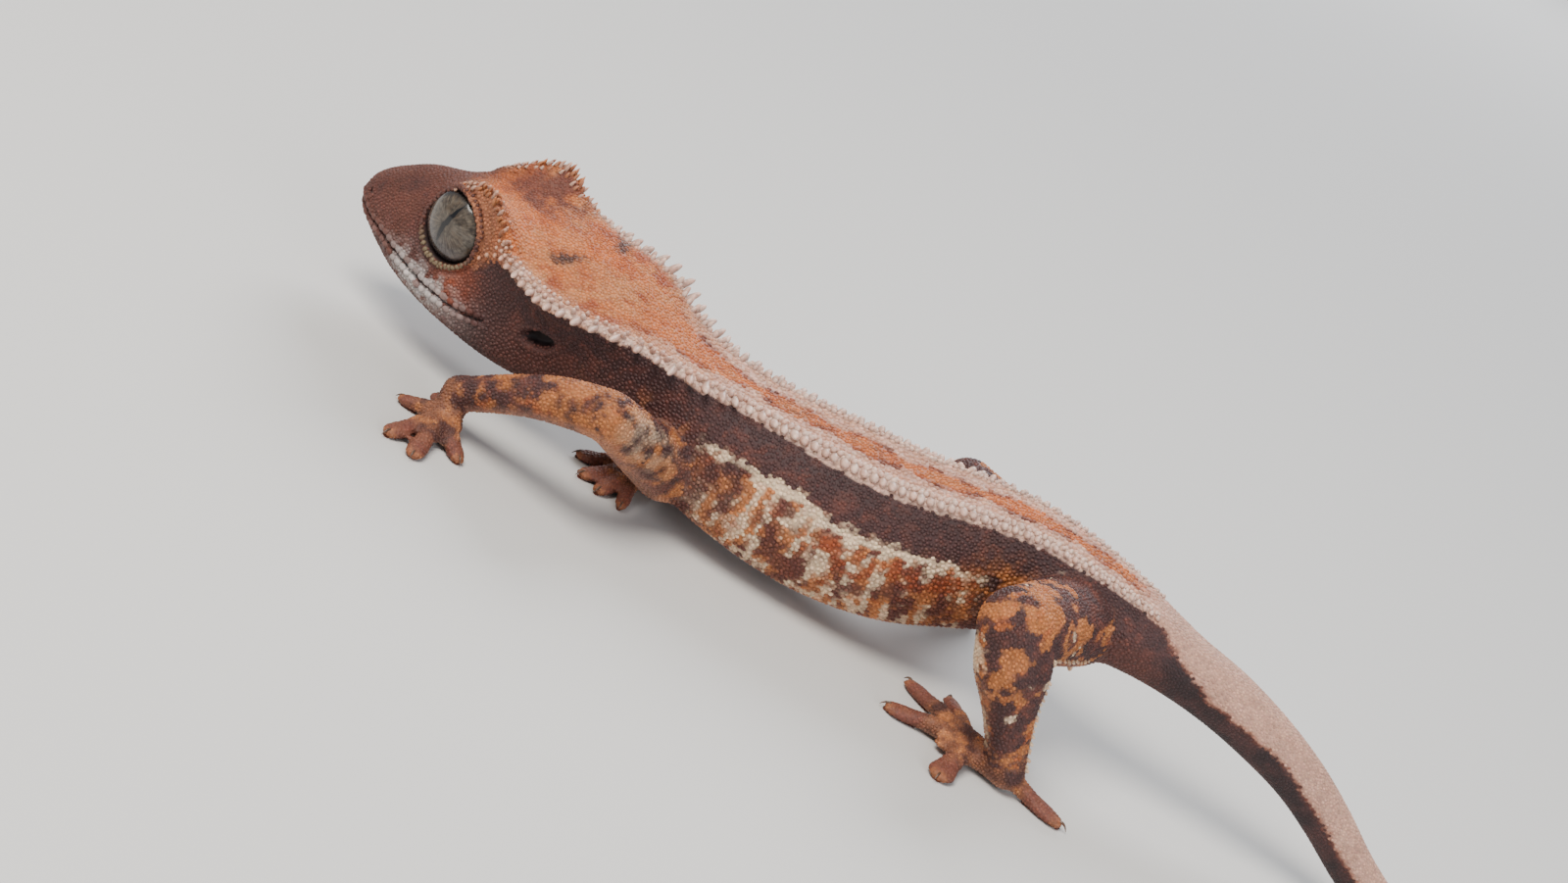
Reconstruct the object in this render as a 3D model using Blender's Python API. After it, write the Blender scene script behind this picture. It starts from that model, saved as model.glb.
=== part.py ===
"""Crested gecko, a still life-size model of a juvenile about 58 mm long from snout to vent.

It stands on a level surface with its head turned a little to its right, its hips high and its tail laid
down behind. The head points towards -X, its left side faces -Y and the surface is at Z = 0.
Sizes are in millimetres here, and MM turns them into metres when a mesh is made.
"""

import math
import random

import bmesh
import bpy
import numpy as np
from mathutils import Matrix, Vector

MM = 0.001
GAP = 0.3
SEED = 11
TINY = 1e-6

# The model's origin lies under the middle of its bounding box, this far from the throat.
MODEL_PLACE = Vector((-26.5, -1.0, 0.0))

# Stations along the body. Each row holds the distance from the snout tip, the place of the middle line
# (x, y, z), the roll towards the left side in degrees, and the section: height of the crown, half width and
# height of the crest edge, half width of the side, half width and drop of the jaw or flank, and depth of the
# underside.
STATIONS = np.array((
    (0.0, -24.1, 6.50, 6.75, 6, 0.50, 0.42, 0.36, 0.60, 0.52, 0.40, 0.55),
    (0.4, -23.7, 6.42, 6.80, 6, 1.15, 0.95, 0.92, 1.25, 1.08, 0.85, 1.10),
    (1.1, -23.0, 6.28, 6.88, 6, 1.80, 1.40, 1.45, 1.90, 1.65, 1.30, 1.75),
    (2.3, -21.8, 6.02, 7.02, 6, 2.60, 1.70, 1.95, 2.55, 2.40, 1.85, 2.60),
    (3.8, -20.35, 5.70, 7.20, 6, 3.40, 1.95, 2.40, 3.10, 3.20, 2.35, 3.20),
    (5.3, -18.9, 5.36, 7.35, 6, 3.80, 2.40, 2.80, 3.55, 3.85, 2.75, 3.60),
    (6.8, -17.4, 5.02, 7.50, 6, 4.00, 3.10, 4.10, 4.00, 4.35, 3.05, 4.00),
    (8.4, -15.85, 4.65, 7.65, 6, 4.15, 3.85, 5.35, 4.35, 4.75, 3.25, 4.25),
    (10.4, -13.9, 4.15, 7.80, 8, 4.35, 4.65, 6.05, 4.65, 5.05, 3.35, 4.50),
    (13.0, -11.35, 3.50, 8.00, 13, 4.30, 5.10, 4.05, 4.90, 5.25, 3.35, 4.70),
    (16.0, -8.40, 2.65, 8.20, 16, 4.00, 5.50, 2.95, 5.05, 5.15, 3.20, 4.70),
    (19.0, -5.45, 1.70, 8.40, 15, 3.60, 5.35, 2.95, 4.80, 4.70, 3.10, 4.60),
    (22.0, -2.5, 0.90, 8.10, 9, 3.25, 4.20, 2.90, 4.40, 4.30, 3.05, 4.65),
    (25.0, 0.5, 0.50, 7.50, 5, 3.35, 3.60, 3.10, 4.25, 4.10, 3.15, 4.85),
    (28.0, 3.5, 0.45, 6.95, 5, 3.85, 2.95, 3.65, 4.75, 4.45, 3.40, 5.15),
    (32.0, 7.5, 0.5, 6.35, 6, 4.60, 2.85, 4.40, 5.30, 4.75, 3.50, 5.30),
    (37.0, 12.5, 0.6, 6.20, 9, 5.15, 2.90, 4.95, 5.70, 4.90, 3.50, 5.30),
    (42.0, 17.4, 0.7, 6.80, 9, 5.10, 2.80, 4.85, 5.40, 4.60, 3.30, 5.00),
    (46.0, 21.2, 0.8, 7.85, 9, 4.85, 2.60, 4.60, 4.70, 4.00, 2.90, 4.40),
    (50.0, 25.0, 0.8, 8.95, 9, 4.30, 2.35, 4.05, 3.90, 3.30, 2.40, 3.85),
    (54.0, 28.9, 0.6, 9.60, 8, 3.50, 2.00, 3.25, 3.50, 2.90, 2.00, 3.30),
    (58.0, 32.9, 0.45, 9.75, 7, 2.75, 1.60, 2.50, 2.90, 2.40, 1.70, 2.70),
    (62.0, 36.9, 0.3, 9.40, 6, 2.25, 1.35, 1.95, 2.20, 1.80, 1.45, 2.15),
    (66.0, 40.8, 0.2, 8.95, 4, 2.10, 1.40, 1.65, 2.10, 1.50, 1.45, 2.05),
    (69.4, 44.1, 0.1, 8.20, 2, 1.95, 1.35, 1.42, 1.95, 1.38, 1.38, 1.92),
    (73.0, 47.5, 0.1, 7.05, 0, 1.75, 1.25, 1.25, 1.75, 1.25, 1.25, 1.75),
    (76.8, 50.7, 0.1, 5.45, 0, 1.62, 1.15, 1.15, 1.62, 1.15, 1.15, 1.62),
    (80.6, 54.0, 0.1, 3.50, 0, 1.50, 1.06, 1.06, 1.50, 1.06, 1.06, 1.50),
    (83.6, 56.7, 0.3, 2.20, 0, 1.42, 1.00, 1.00, 1.42, 1.00, 1.00, 1.42),
    (86.6, 59.6, 0.7, 1.50, 0, 1.33, 0.94, 0.94, 1.33, 0.94, 0.94, 1.33),
    (90.2, 63.0, 1.6, 1.17, 0, 1.20, 0.85, 0.85, 1.22, 0.85, 0.85, 1.22),
    (95.0, 67.6, 3.2, 0.98, 0, 1.02, 0.72, 0.72, 1.06, 0.72, 0.72, 1.04),
    (100.0, 72.0, 5.3, 0.80, 0, 0.84, 0.59, 0.59, 0.92, 0.59, 0.59, 0.86),
    (104.0, 75.2, 7.5, 0.62, 0, 0.66, 0.48, 0.48, 0.80, 0.48, 0.48, 0.68),
    (106.2, 76.8, 9.0, 0.42, 0, 0.34, 0.26, 0.24, 0.40, 0.26, 0.24, 0.46),
))

# Each length of the body: its first and last station distance, the spacing of its rings, and the number of
# points from one of the section's corners to the next.
LENGTHS = {
    "head": (0.0, 21.0, 1.1, 3),
    "neck": (21.0, 27.0, 1.5, 2),
    "chest": (27.0, 36.0, 1.9, 2),
    "belly": (36.0, 46.0, 2.0, 2),
    "hips": (46.0, 58.5, 1.9, 2),
    "tail_base": (58.5, 74.0, 2.2, 1),
    "tail_middle": (74.0, 90.0, 1.8, 1),
    "tail_tip": (90.0, 106.2, 2.0, 1),
}

# The share of the way between two corners of the section that makes a round corner of it.
ROUND_SIDE = 0.54
ROUND_DROP = 0.27
CREST_CORNER = 2

# The eye in the head: distance from the snout tip, distance to the side, height, and its half sizes
# along the head, across it and upwards.
EYE_PLACE = (8.4, 3.20, 2.05)
EYE_HALF = (2.30, 1.75, 2.20)
EYE_FORWARD_TURN = 14
EYE_UP_TURN = 4
RIM_MAJOR = 2.32
RIM_MINOR = 0.42
RIM_OUT = 0.50

# The mouth line: distance from the snout tip and height on the side of the head.
MOUTH_LINE = ((12.8, -1.45), (11.4, -1.95), (9.4, -2.20), (7.2, -2.05), (5.0, -1.65), (3.2, -1.25),
              (1.5, -0.85))
MOUTH_SLIT = 0.30
MOUTH_DEPTH = 0.45
LIP_RADIUS = 0.30
LIP_DROP = 0.36

EAR_PLACE = (17.0, -0.1)
EAR_HALF = (1.25, 1.00, 0.62)
EAR_TILT = -15
NOSTRIL_PLACE = (0.95, 0.45)
NOSTRIL_RADIUS = 0.26

# The crest: a row of soft spines along each side from behind the eye to the root of the tail.
# Each row holds the distance along the body, the spine's length and its radius at the root.
CREST_SIZES = ((12.4, 0.50, 0.30), (15.0, 0.75, 0.34), (20.0, 0.95, 0.38), (27.0, 0.85, 0.36),
               (34.0, 0.60, 0.33), (46.0, 0.45, 0.30), (58.0, 0.30, 0.27))
CREST_SPACING = 1.12
LASHES = (7.7, 8.5, 9.4, 10.3, 11.2)
LASH_LENGTH = 0.85
LASH_RADIUS = 0.27
SPINE_SINK = 0.55
SPINE_SIDES = 5
SPINE_TIP_SHARE = 0.42
SPUR_PLACE = 57.3
SPUR_LENGTH = 0.75
SPUR_RADIUS = 0.34

# Each limb: its root inside the body, its bend, its end above the foot, and the half widths at those places.
LIMBS = {
    "left_arm": (((2.3, -2.7, 3.9), (-2.2, -9.6, 7.8), (-10.3, -6.3, 3.1)), (2.1, 1.60, 1.12)),
    "right_arm": (((2.8, 3.2, 5.2), (7.0, 9.2, 3.5), (2.3, 4.4, 1.2)), (2.1, 1.45, 1.00)),
    "left_leg": (((29.6, -0.6, 8.7), (25.2, -9.5, 9.7), (29.1, -9.7, 2.3)), (3.0, 2.35, 1.30)),
    "right_leg": (((28.2, 2.6, 8.9), (20.2, 8.7, 9.4), (24.6, 10.9, 2.2)), (2.8, 1.95, 1.25)),
}
LIMB_PARTS = {"arm": ("upper_arm", "forearm"), "leg": ("thigh", "shank")}
MUSCLE_SWELL = {"arm": 0.04, "leg": 0.20}
MUSCLE_BOW = {"arm": 0.55, "leg": 0.0}
PARTING_WIDE = 6.0
PARTING_DEPTH = 5.0
LIMB_SIDES = 10
LIMB_SPACING = 1.8

# Each hand or foot: the middle of its palm, and for each of its toes the tip and the half width of the pad.
FEET = {
    "left_hand": ((-11.1, -7.0), ((-12.6, -3.0, 0.55), (-14.2, -6.1, 0.62), (-13.3, -11.8, 0.70),
                                  (-11.2, -12.7, 0.74), (-8.8, -9.9, 0.66))),
    "right_hand": ((1.0, 1.9), ((1.0, -3.3, 0.52), (-0.8, -3.0, 0.62), (-2.3, -2.0, 0.68),
                                (-3.2, 0.7, 0.70), (-1.5, 4.1, 0.62))),
    "left_foot": ((27.2, -8.5), ((25.4, -2.4, 0.62), (22.4, -3.4, 0.72), (21.4, -8.4, 0.80),
                                 (25.7, -13.7, 0.95), (34.4, -10.6, 0.80))),
    "right_foot": ((22.6, 10.8), ((21.3, 6.1, 0.60), (18.2, 7.7, 0.72), (16.9, 11.0, 0.80),
                                  (18.6, 14.8, 0.85), (25.6, 15.6, 0.76))),
}
PALM_HEIGHT = 0.72
PALM_HALF = {"hand": (1.35, 0.74), "foot": (1.75, 0.80)}
HEEL_REACH = 0.75
HEEL_SHARE = 0.98
CUFF_WIDE = 2.6
CUFF_DEPTH = 2.0
TOE_SIDES = 7
FLOOR_SINK = 0.06
FLOOR_DEPTH = 3.0
FLOOR_SPAN = 200.0

COLOURS = {
    "skin": ((0.36, 0.17, 0.10, 1.0), 0.75),
    "eye": ((0.16, 0.15, 0.14, 1.0), 0.15),
}


def clear_scene():
    for item in list(bpy.data.objects):
        bpy.data.objects.remove(item, do_unlink=True)


def finish_material(slot, node):
    colour, roughness = COLOURS[slot]
    material = bpy.data.materials.new(f"{slot}_{node}")
    material.use_nodes = True
    shader = material.node_tree.nodes["Principled BSDF"]
    shader.inputs["Base Color"].default_value = colour
    shader.inputs["Roughness"].default_value = roughness
    shader.inputs["Metallic"].default_value = 0.0
    return material


# Interpolation along the body

def smooth_row(table, at):
    """The table's row at this value of its first column, on a smooth curve through all its rows."""
    keys = table[:, 0]
    slopes = np.gradient(table, keys, axis=0)
    i = int(np.clip(np.searchsorted(keys, at) - 1, 0, len(keys) - 2))
    span = keys[i + 1] - keys[i]
    t = (at - keys[i]) / span
    start = (1 + 2 * t) * (1 - t) ** 2
    end = t * t * (3 - 2 * t)
    leave = span * t * (1 - t) ** 2
    arrive = span * t * t * (t - 1)
    return start * table[i] + end * table[i + 1] + leave * slopes[i] + arrive * slopes[i + 1]


def body_frame(along):
    """The middle of the body at this distance from the snout tip, with its left, up and back directions."""
    row = smooth_row(STATIONS, along)
    step = 0.05
    behind = smooth_row(STATIONS, min(along + step, STATIONS[-1, 0]))
    ahead = smooth_row(STATIONS, max(along - step, 0.0))
    back = Vector(behind[1:4] - ahead[1:4]).normalized()
    upright = (Vector((0, 0, 1)) - back * back.z).normalized()
    sideways = back.cross(upright)
    roll = math.radians(row[4])
    up = upright * math.cos(roll) + sideways * math.sin(roll)
    left = sideways * math.cos(roll) - upright * math.sin(roll)
    return Vector(row[1:4]) + MODEL_PLACE, left, up, back


def section_outline(along, fine):
    """The outline of the body's section as (left, up) points, from the crown down the left side and back."""
    crown, edge, edge_up, side, jaw, jaw_down, depth = smooth_row(STATIONS, along)[5:]
    half = [
        (0.0, crown),
        (ROUND_SIDE * edge, crown - ROUND_DROP * (crown - edge_up)),
        (edge, edge_up),
        (side - ROUND_DROP * (side - edge), ROUND_SIDE * edge_up),
        (side, 0.0),
        (jaw, -jaw_down),
        (ROUND_SIDE * jaw, -depth + ROUND_DROP * (depth - jaw_down)),
        (0.0, -depth),
    ]
    corners = np.array(half + [(-x, y) for x, y in half[-2:0:-1]])
    outline = []
    for i in range(len(corners)):
        a, b, c, d = (corners[(i + k) % len(corners)] for k in (-1, 0, 1, 2))
        for j in range(fine):
            t = j / fine
            outline.append(0.5 * (2 * b + (c - a) * t + (2 * a - 5 * b + 4 * c - d) * t * t
                                  + (3 * b - a - 3 * c + d) * t ** 3))
    return np.array(outline)


def outline_normals(outline):
    run = np.roll(outline, -1, axis=0) - np.roll(outline, 1, axis=0)
    normals = np.stack((-run[:, 1], run[:, 0]), axis=1)
    return normals / np.linalg.norm(normals, axis=1, keepdims=True)


def body_ring(along, fine, grow=0.0):
    outline = section_outline(along, fine)
    outline = outline + outline_normals(outline) * grow
    middle, left, up, _ = body_frame(along)
    return [middle + left * x + up * y for x, y in outline]


def side_reach(along, height):
    """How far the left side of the body reaches at this height above its middle line."""
    outline = section_outline(along, 6)
    left_side = outline[: len(outline) // 2 + 1]
    return float(np.interp(-height, -left_side[:, 1], left_side[:, 0]))


def body_point(along, left_by, up_by):
    middle, left, up, _ = body_frame(along)
    return middle + left * left_by + up * up_by


# Closed meshes

def place_mesh(name, shape, collection=None):
    """A mesh object of this bmesh, which is in millimetres, with its faces turned outwards."""
    bmesh.ops.recalc_face_normals(shape, faces=shape.faces)
    bmesh.ops.scale(shape, vec=(MM, MM, MM), verts=shape.verts)
    mesh = bpy.data.meshes.new(name)
    shape.to_mesh(mesh)
    shape.free()
    item = bpy.data.objects.new(name, mesh)
    (collection or bpy.context.scene.collection).objects.link(item)
    return item


def loft(rings, closed=False):
    """A bmesh through these rings of points, with a flat end on each side unless it closes on itself."""
    shape = bmesh.new()
    rows = [[shape.verts.new(point) for point in ring] for ring in rings]
    count = len(rows[0])
    for a, b in zip(rows, rows[1:] + rows[:1] if closed else rows[1:]):
        for i in range(count):
            j = (i + 1) % count
            shape.faces.new((a[i], a[j], b[j], b[i]))
    if not closed:
        shape.faces.new(rows[0])
        shape.faces.new(rows[-1])
    return shape


def rings_between(start, end, spacing, fine, grow=0.0):
    count = max(2, round((end - start) / spacing) + 1)
    return [body_ring(along, fine, grow) for along in np.linspace(start, end, count)]


def tube_rings(points, sizes, sides):
    """Rings across a path. Each size is a half width, level with the floor if possible, and a half height."""
    points = [Vector(p) for p in points]
    rings = []
    level = None
    for i, point in enumerate(points):
        run = (points[min(i + 1, len(points) - 1)] - points[max(i - 1, 0)]).normalized()
        if level is None:
            level = run.cross(Vector((0, 0, 1)))
            if level.length < 0.2:
                level = Vector((0, 1, 0))
        level = (level - run * level.dot(run)).normalized()
        rise = level.cross(run)
        wide, tall = sizes[i]
        turns = [2 * math.pi * k / sides for k in range(sides)]
        rings.append([point + level * (wide * math.cos(a)) + rise * (tall * math.sin(a)) for a in turns])
    return rings


def ellipsoid(middle, axes, half, rings=12, sides=16):
    shape = bmesh.new()
    bmesh.ops.create_uvsphere(shape, u_segments=sides, v_segments=rings, radius=1.0)
    turn = Matrix((axes[0] * half[0], axes[1] * half[1], axes[2] * half[2])).transposed().to_4x4()
    bmesh.ops.transform(shape, matrix=Matrix.Translation(middle) @ turn, verts=shape.verts)
    return shape


def spine(root, direction, length, radius):
    """A tapered spine whose root is sunk in the surface that it grows from."""
    shape = bmesh.new()
    whole = length + SPINE_SINK
    bmesh.ops.create_cone(shape, cap_ends=True, segments=SPINE_SIDES, radius1=radius,
                          radius2=radius * SPINE_TIP_SHARE, depth=whole)
    turn = direction.to_track_quat("Z", "Y").to_matrix().to_4x4()
    middle = root + direction * (length - whole / 2)
    bmesh.ops.transform(shape, matrix=Matrix.Translation(middle) @ turn, verts=shape.verts)
    return shape


def floor_slab():
    shape = bmesh.new()
    bmesh.ops.create_cube(shape, size=1.0)
    bmesh.ops.scale(shape, vec=(FLOOR_SPAN, FLOOR_SPAN, FLOOR_DEPTH), verts=shape.verts)
    bmesh.ops.translate(shape, vec=(0, 0, -FLOOR_DEPTH / 2), verts=shape.verts)
    return shape


# Joining and cutting

def apply_boolean(item, operation, shapes, solver):
    """Joins these bmeshes to the object, or cuts them from it, and takes the helpers away again."""
    helpers = bpy.data.collections.new("helpers")
    bpy.context.scene.collection.children.link(helpers)
    for i, shape in enumerate(shapes):
        helper = place_mesh(f"helper_{i}", shape, helpers)
        helper.hide_render = True
        helper.display_type = "WIRE"
    modifier = item.modifiers.new("joined", "BOOLEAN")
    modifier.operation = operation
    modifier.operand_type = "COLLECTION"
    modifier.collection = helpers
    modifier.solver = solver
    bpy.context.view_layer.update()
    graph = bpy.context.evaluated_depsgraph_get()
    mesh = bpy.data.meshes.new_from_object(item.evaluated_get(graph), depsgraph=graph)
    item.modifiers.clear()
    old = item.data
    item.data = mesh
    bpy.data.meshes.remove(old)
    for helper in list(helpers.objects):
        bpy.data.objects.remove(helper, do_unlink=True)
    bpy.data.collections.remove(helpers)


def keep_largest(item):
    """Keeps the mesh's largest closed surface, which drops loose scraps and sealed hollows."""
    shape = bmesh.new()
    shape.from_mesh(item.data)
    left_over = set(shape.verts)
    islands = []
    while left_over:
        front = [left_over.pop()]
        island = set(front)
        while front:
            for edge in front.pop().link_edges:
                for other in edge.verts:
                    if other in left_over:
                        left_over.discard(other)
                        island.add(other)
                        front.append(other)
        islands.append(island)
    islands.sort(key=len)
    bmesh.ops.delete(shape, geom=[vert for island in islands[:-1] for vert in island], context="VERTS")
    bmesh.ops.dissolve_degenerate(shape, dist=TINY, edges=shape.edges)
    bmesh.ops.triangulate(shape, faces=shape.faces)
    shape.to_mesh(item.data)
    shape.free()


def finish_node(item, slot, crease=40):
    keep_largest(item)
    item.data.shade_smooth()
    item.data.set_sharp_from_angle(angle=math.radians(crease))
    item.data.materials.clear()
    item.data.materials.append(finish_material(slot, item.name))


def make_node(name, base, joined=(), cut=(), slot="skin", solver="EXACT"):
    item = place_mesh(name, base)
    if joined:
        apply_boolean(item, "UNION", joined, solver)
    if cut:
        apply_boolean(item, "DIFFERENCE", cut, solver)
    finish_node(item, slot)
    return item


# The crest

def crest_root(along, side):
    """The place of the crest edge, and the direction in which its spines stand."""
    fine = 4
    outline = section_outline(along, fine)
    index = CREST_CORNER * fine
    x, y = outline[index]
    out_x, out_y = outline_normals(outline)[index]
    middle, left, up, back = body_frame(along)
    root = middle + left * (side * x) + up * y
    direction = (left * (side * (out_x + 0.45)) + up * out_y + back * 0.15).normalized()
    return root, direction


def crest_spines(start, end):
    """The spines of both crest rows that lie between two distances along the body."""
    sizes = np.array(CREST_SIZES)
    shapes = []
    for side in (1, -1):
        draw = random.Random(SEED + side)
        for along in np.arange(sizes[0, 0], sizes[-1, 0], CREST_SPACING):
            long_share = draw.uniform(0.82, 1.2)
            wide_share = draw.uniform(0.92, 1.1)
            if not start + 0.55 < along < end - 0.55:
                continue
            length = float(np.interp(along, sizes[:, 0], sizes[:, 1])) * long_share
            radius = float(np.interp(along, sizes[:, 0], sizes[:, 2])) * wide_share
            root, direction = crest_root(along, side)
            shapes.append(spine(root, direction, length, radius))
    return shapes


def brow_lashes():
    shapes = []
    for side in (1, -1):
        for along in LASHES:
            root, direction = crest_root(along, side)
            shapes.append(spine(root, direction, LASH_LENGTH, LASH_RADIUS))
    return shapes


# The head

def eye_axes(side):
    """The eye's own directions: back along the head, out through the pupil, and up."""
    _, left, up, back = body_frame(EYE_PLACE[0])
    forward_turn = math.radians(EYE_FORWARD_TURN)
    up_turn = math.radians(EYE_UP_TURN)
    level_out = left * (side * math.cos(forward_turn)) - back * math.sin(forward_turn)
    out = level_out * math.cos(up_turn) + up * math.sin(up_turn)
    along = (back - out * back.dot(out)).normalized()
    return along, out, along.cross(out) * (1 if along.cross(out).dot(up) > 0 else -1)


def eye_shape(side, grow):
    middle = body_point(EYE_PLACE[0], side * EYE_PLACE[1], EYE_PLACE[2])
    return ellipsoid(middle, eye_axes(side), [size + grow for size in EYE_HALF])


def eye_rim(side):
    """The raised ring of scales round the eye."""
    along, out, up = eye_axes(side)
    middle = body_point(EYE_PLACE[0], side * EYE_PLACE[1], EYE_PLACE[2]) + out * RIM_OUT
    rings = []
    for k in range(20):
        turn = 2 * math.pi * k / 20
        spoke = along * math.cos(turn) + up * math.sin(turn)
        centre = middle + spoke * RIM_MAJOR
        rings.append([centre + spoke * (RIM_MINOR * math.cos(a)) + out * (RIM_MINOR * math.sin(a))
                      for a in (2 * math.pi * j / 6 for j in range(6))])
    return loft(rings, closed=True)


def mouth_path():
    """Points on the lips, from the left corner of the mouth round the snout, with their own directions."""
    left_half = []
    for along, height in MOUTH_LINE:
        _, left, up, back = body_frame(along)
        left_half.append((body_point(along, side_reach(along, height), height), left, up))
    _, left, up, back = body_frame(0.0)
    left_half.append((body_point(0.35, side_reach(0.35, -0.4), -0.42), (left - back).normalized(), up))
    tip = [(body_point(0.0, 0.0, -0.38), -back, up)]
    right_half = []
    for along, height in MOUTH_LINE:
        _, left, up, back = body_frame(along)
        right_half.append((body_point(along, -side_reach(along, height), height), -left, up))
    _, left, up, back = body_frame(0.0)
    right_half.append((body_point(0.35, -side_reach(0.35, -0.4), -0.42), (-left - back).normalized(), up))
    return left_half + tip + right_half[::-1]


def mouth_slit():
    rings = []
    for point, out, up in mouth_path():
        outer = point + out * MOUTH_DEPTH
        inner = point - out * MOUTH_DEPTH
        rings.append([outer + up * (MOUTH_SLIT / 2), outer - up * (MOUTH_SLIT / 2),
                      inner - up * (MOUTH_SLIT / 4), inner + up * (MOUTH_SLIT / 4)])
    return loft(rings)


def lip(sign):
    rings = []
    path = mouth_path()
    for i, (point, out, up) in enumerate(path):
        size = LIP_RADIUS * (0.5 if i in (0, len(path) - 1) else 1.0)
        middle = point + up * (sign * LIP_DROP) - out * (LIP_RADIUS * 0.45)
        rings.append([middle + out * (size * math.cos(a)) + up * (size * math.sin(a))
                      for a in (2 * math.pi * j / 6 for j in range(6))])
    return loft(rings)


def ear_pit(side):
    along, height = EAR_PLACE
    middle = body_point(along, side * (side_reach(along, height) + 0.15), height)
    _, left, up, back = body_frame(along)
    tilt = math.radians(EAR_TILT)
    length = back * math.cos(tilt) - up * math.sin(tilt)
    rise = up * math.cos(tilt) + back * math.sin(tilt)
    return ellipsoid(middle, (length, left, rise), EAR_HALF, 8, 12)


def nostril(side):
    along, height = NOSTRIL_PLACE
    middle = body_point(along, side * side_reach(along, height), height)
    _, left, up, back = body_frame(along)
    return ellipsoid(middle, (back, left, up), (NOSTRIL_RADIUS,) * 3, 6, 8)


def make_head():
    start, end, spacing, fine = LENGTHS["head"]
    base = loft(rings_between(start, end - GAP / 2, spacing, fine))
    joined = [eye_rim(1), eye_rim(-1), lip(1), lip(-1)] + brow_lashes() + crest_spines(11.8, end)
    cut = [mouth_slit()]
    for side in (1, -1):
        cut += [eye_shape(side, GAP), ear_pit(side), nostril(side)]
    make_node("head", base, joined, cut)
    for side, name in ((1, "eye_left"), (-1, "eye_right")):
        make_node(name, eye_shape(side, 0.0), slot="eye")


# Neck, trunk and tail

def vent_spurs():
    shapes = []
    for side in (1, -1):
        height = -1.9
        root = body_point(SPUR_PLACE, side * side_reach(SPUR_PLACE, height), height)
        _, left, up, back = body_frame(SPUR_PLACE)
        direction = (left * side - up * 0.6 + back * 0.3).normalized()
        shapes.append(spine(root, direction, SPUR_LENGTH, SPUR_RADIUS))
    return shapes


def make_trunk_and_tail():
    for name, (start, end, spacing, fine) in LENGTHS.items():
        if name == "head":
            continue
        last = end if name == "tail_tip" else end - GAP / 2
        base = loft(rings_between(start + GAP / 2, last, spacing, fine))
        joined = [] if name.startswith("tail") else crest_spines(start, end)
        if name == "hips":
            joined += vent_spurs()
        cut = [floor_slab()] if name in ("tail_middle", "tail_tip") else []
        make_node(name, base, joined, cut)


# Limbs

def limb_places(limb):
    places, halves = LIMBS[limb]
    root, bend, end = (Vector(place) + MODEL_PLACE for place in places)
    return root, bend, end, halves


def muscle(start, end, start_half, end_half, swell, bow):
    """A tapered length of limb that swells a third of the way along and bows upwards."""
    count = max(5, round((end - start).length / LIMB_SPACING))
    points = []
    sizes = []
    for t in np.linspace(0, 1, count):
        points.append(start.lerp(end, t) + Vector((0, 0, bow * math.sin(math.pi * t))))
        half = (start_half + (end_half - start_half) * t) * (1 + swell * math.exp(-((t - 0.35) / 0.22) ** 2))
        sizes.append((half, half))
    return loft(tube_rings(points, sizes, LIMB_SIDES))


def joint_ball(middle, half):
    axes = (Vector((1, 0, 0)), Vector((0, 1, 0)), Vector((0, 0, 1)))
    return ellipsoid(middle, axes, (half,) * 3, 8, LIMB_SIDES)


def straight_tube(start, end, start_size, end_size):
    points = [start, start.lerp(end, 0.5), end]
    half_way = tuple((a + b) / 2 for a, b in zip(start_size, end_size))
    return loft(tube_rings(points, (start_size, half_way, end_size), LIMB_SIDES))


def parting_block(middle, direction):
    """A block that trims a length of limb half a gap short of the plane that it shares with the next one."""
    start = middle - direction * (GAP / 2)
    size = (PARTING_WIDE, PARTING_WIDE)
    return straight_tube(start, start + direction * PARTING_DEPTH, size, size)


def make_limb(limb):
    side, kind = limb.split("_")
    upper_name, lower_name = LIMB_PARTS[kind]
    root, bend, end, halves = limb_places(limb)
    onward = ((bend - root).normalized() + (end - bend).normalized()).normalized()
    body = loft(rings_between(21.0, 66.0, 1.5, 2, GAP))
    make_node(f"{side}_{upper_name}", muscle(root, bend, halves[0], halves[1], 0.0, 0.0),
              [joint_ball(bend, halves[1])], [parting_block(bend, onward), body])
    lower = muscle(bend, end, halves[1], halves[2], MUSCLE_SWELL[kind], MUSCLE_BOW[kind])
    make_node(f"{side}_{lower_name}", lower, [joint_ball(bend, halves[1])], [parting_block(bend, -onward)])


# Hands and feet

def toe(palm, tip, pad, start):
    """A toe that leaves the palm, arches a little and ends in a broad flat pad."""
    palm = Vector((palm[0], palm[1], PALM_HEIGHT))
    tip = Vector((tip[0], tip[1], 0.0))
    slim = pad * 0.78
    stretches = ((start, PALM_HEIGHT, 0.72, 0.60), (0.30, 0.82, slim, 0.62), (0.52, 0.78, slim, 0.52),
                 (0.68, 0.52, pad * 0.88, 0.50), (0.84, 0.38, pad, 0.42), (0.95, 0.30, pad * 0.86, 0.34),
                 (1.0, 0.20, pad * 0.40, 0.22))
    points = []
    sizes = []
    for share, height, wide, tall in stretches:
        place = palm.lerp(tip, share)
        points.append(Vector((place.x, place.y, max(height, tall - FLOOR_SINK))))
        sizes.append((wide, tall))
    return loft(tube_rings(points, sizes, TOE_SIDES))


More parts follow.
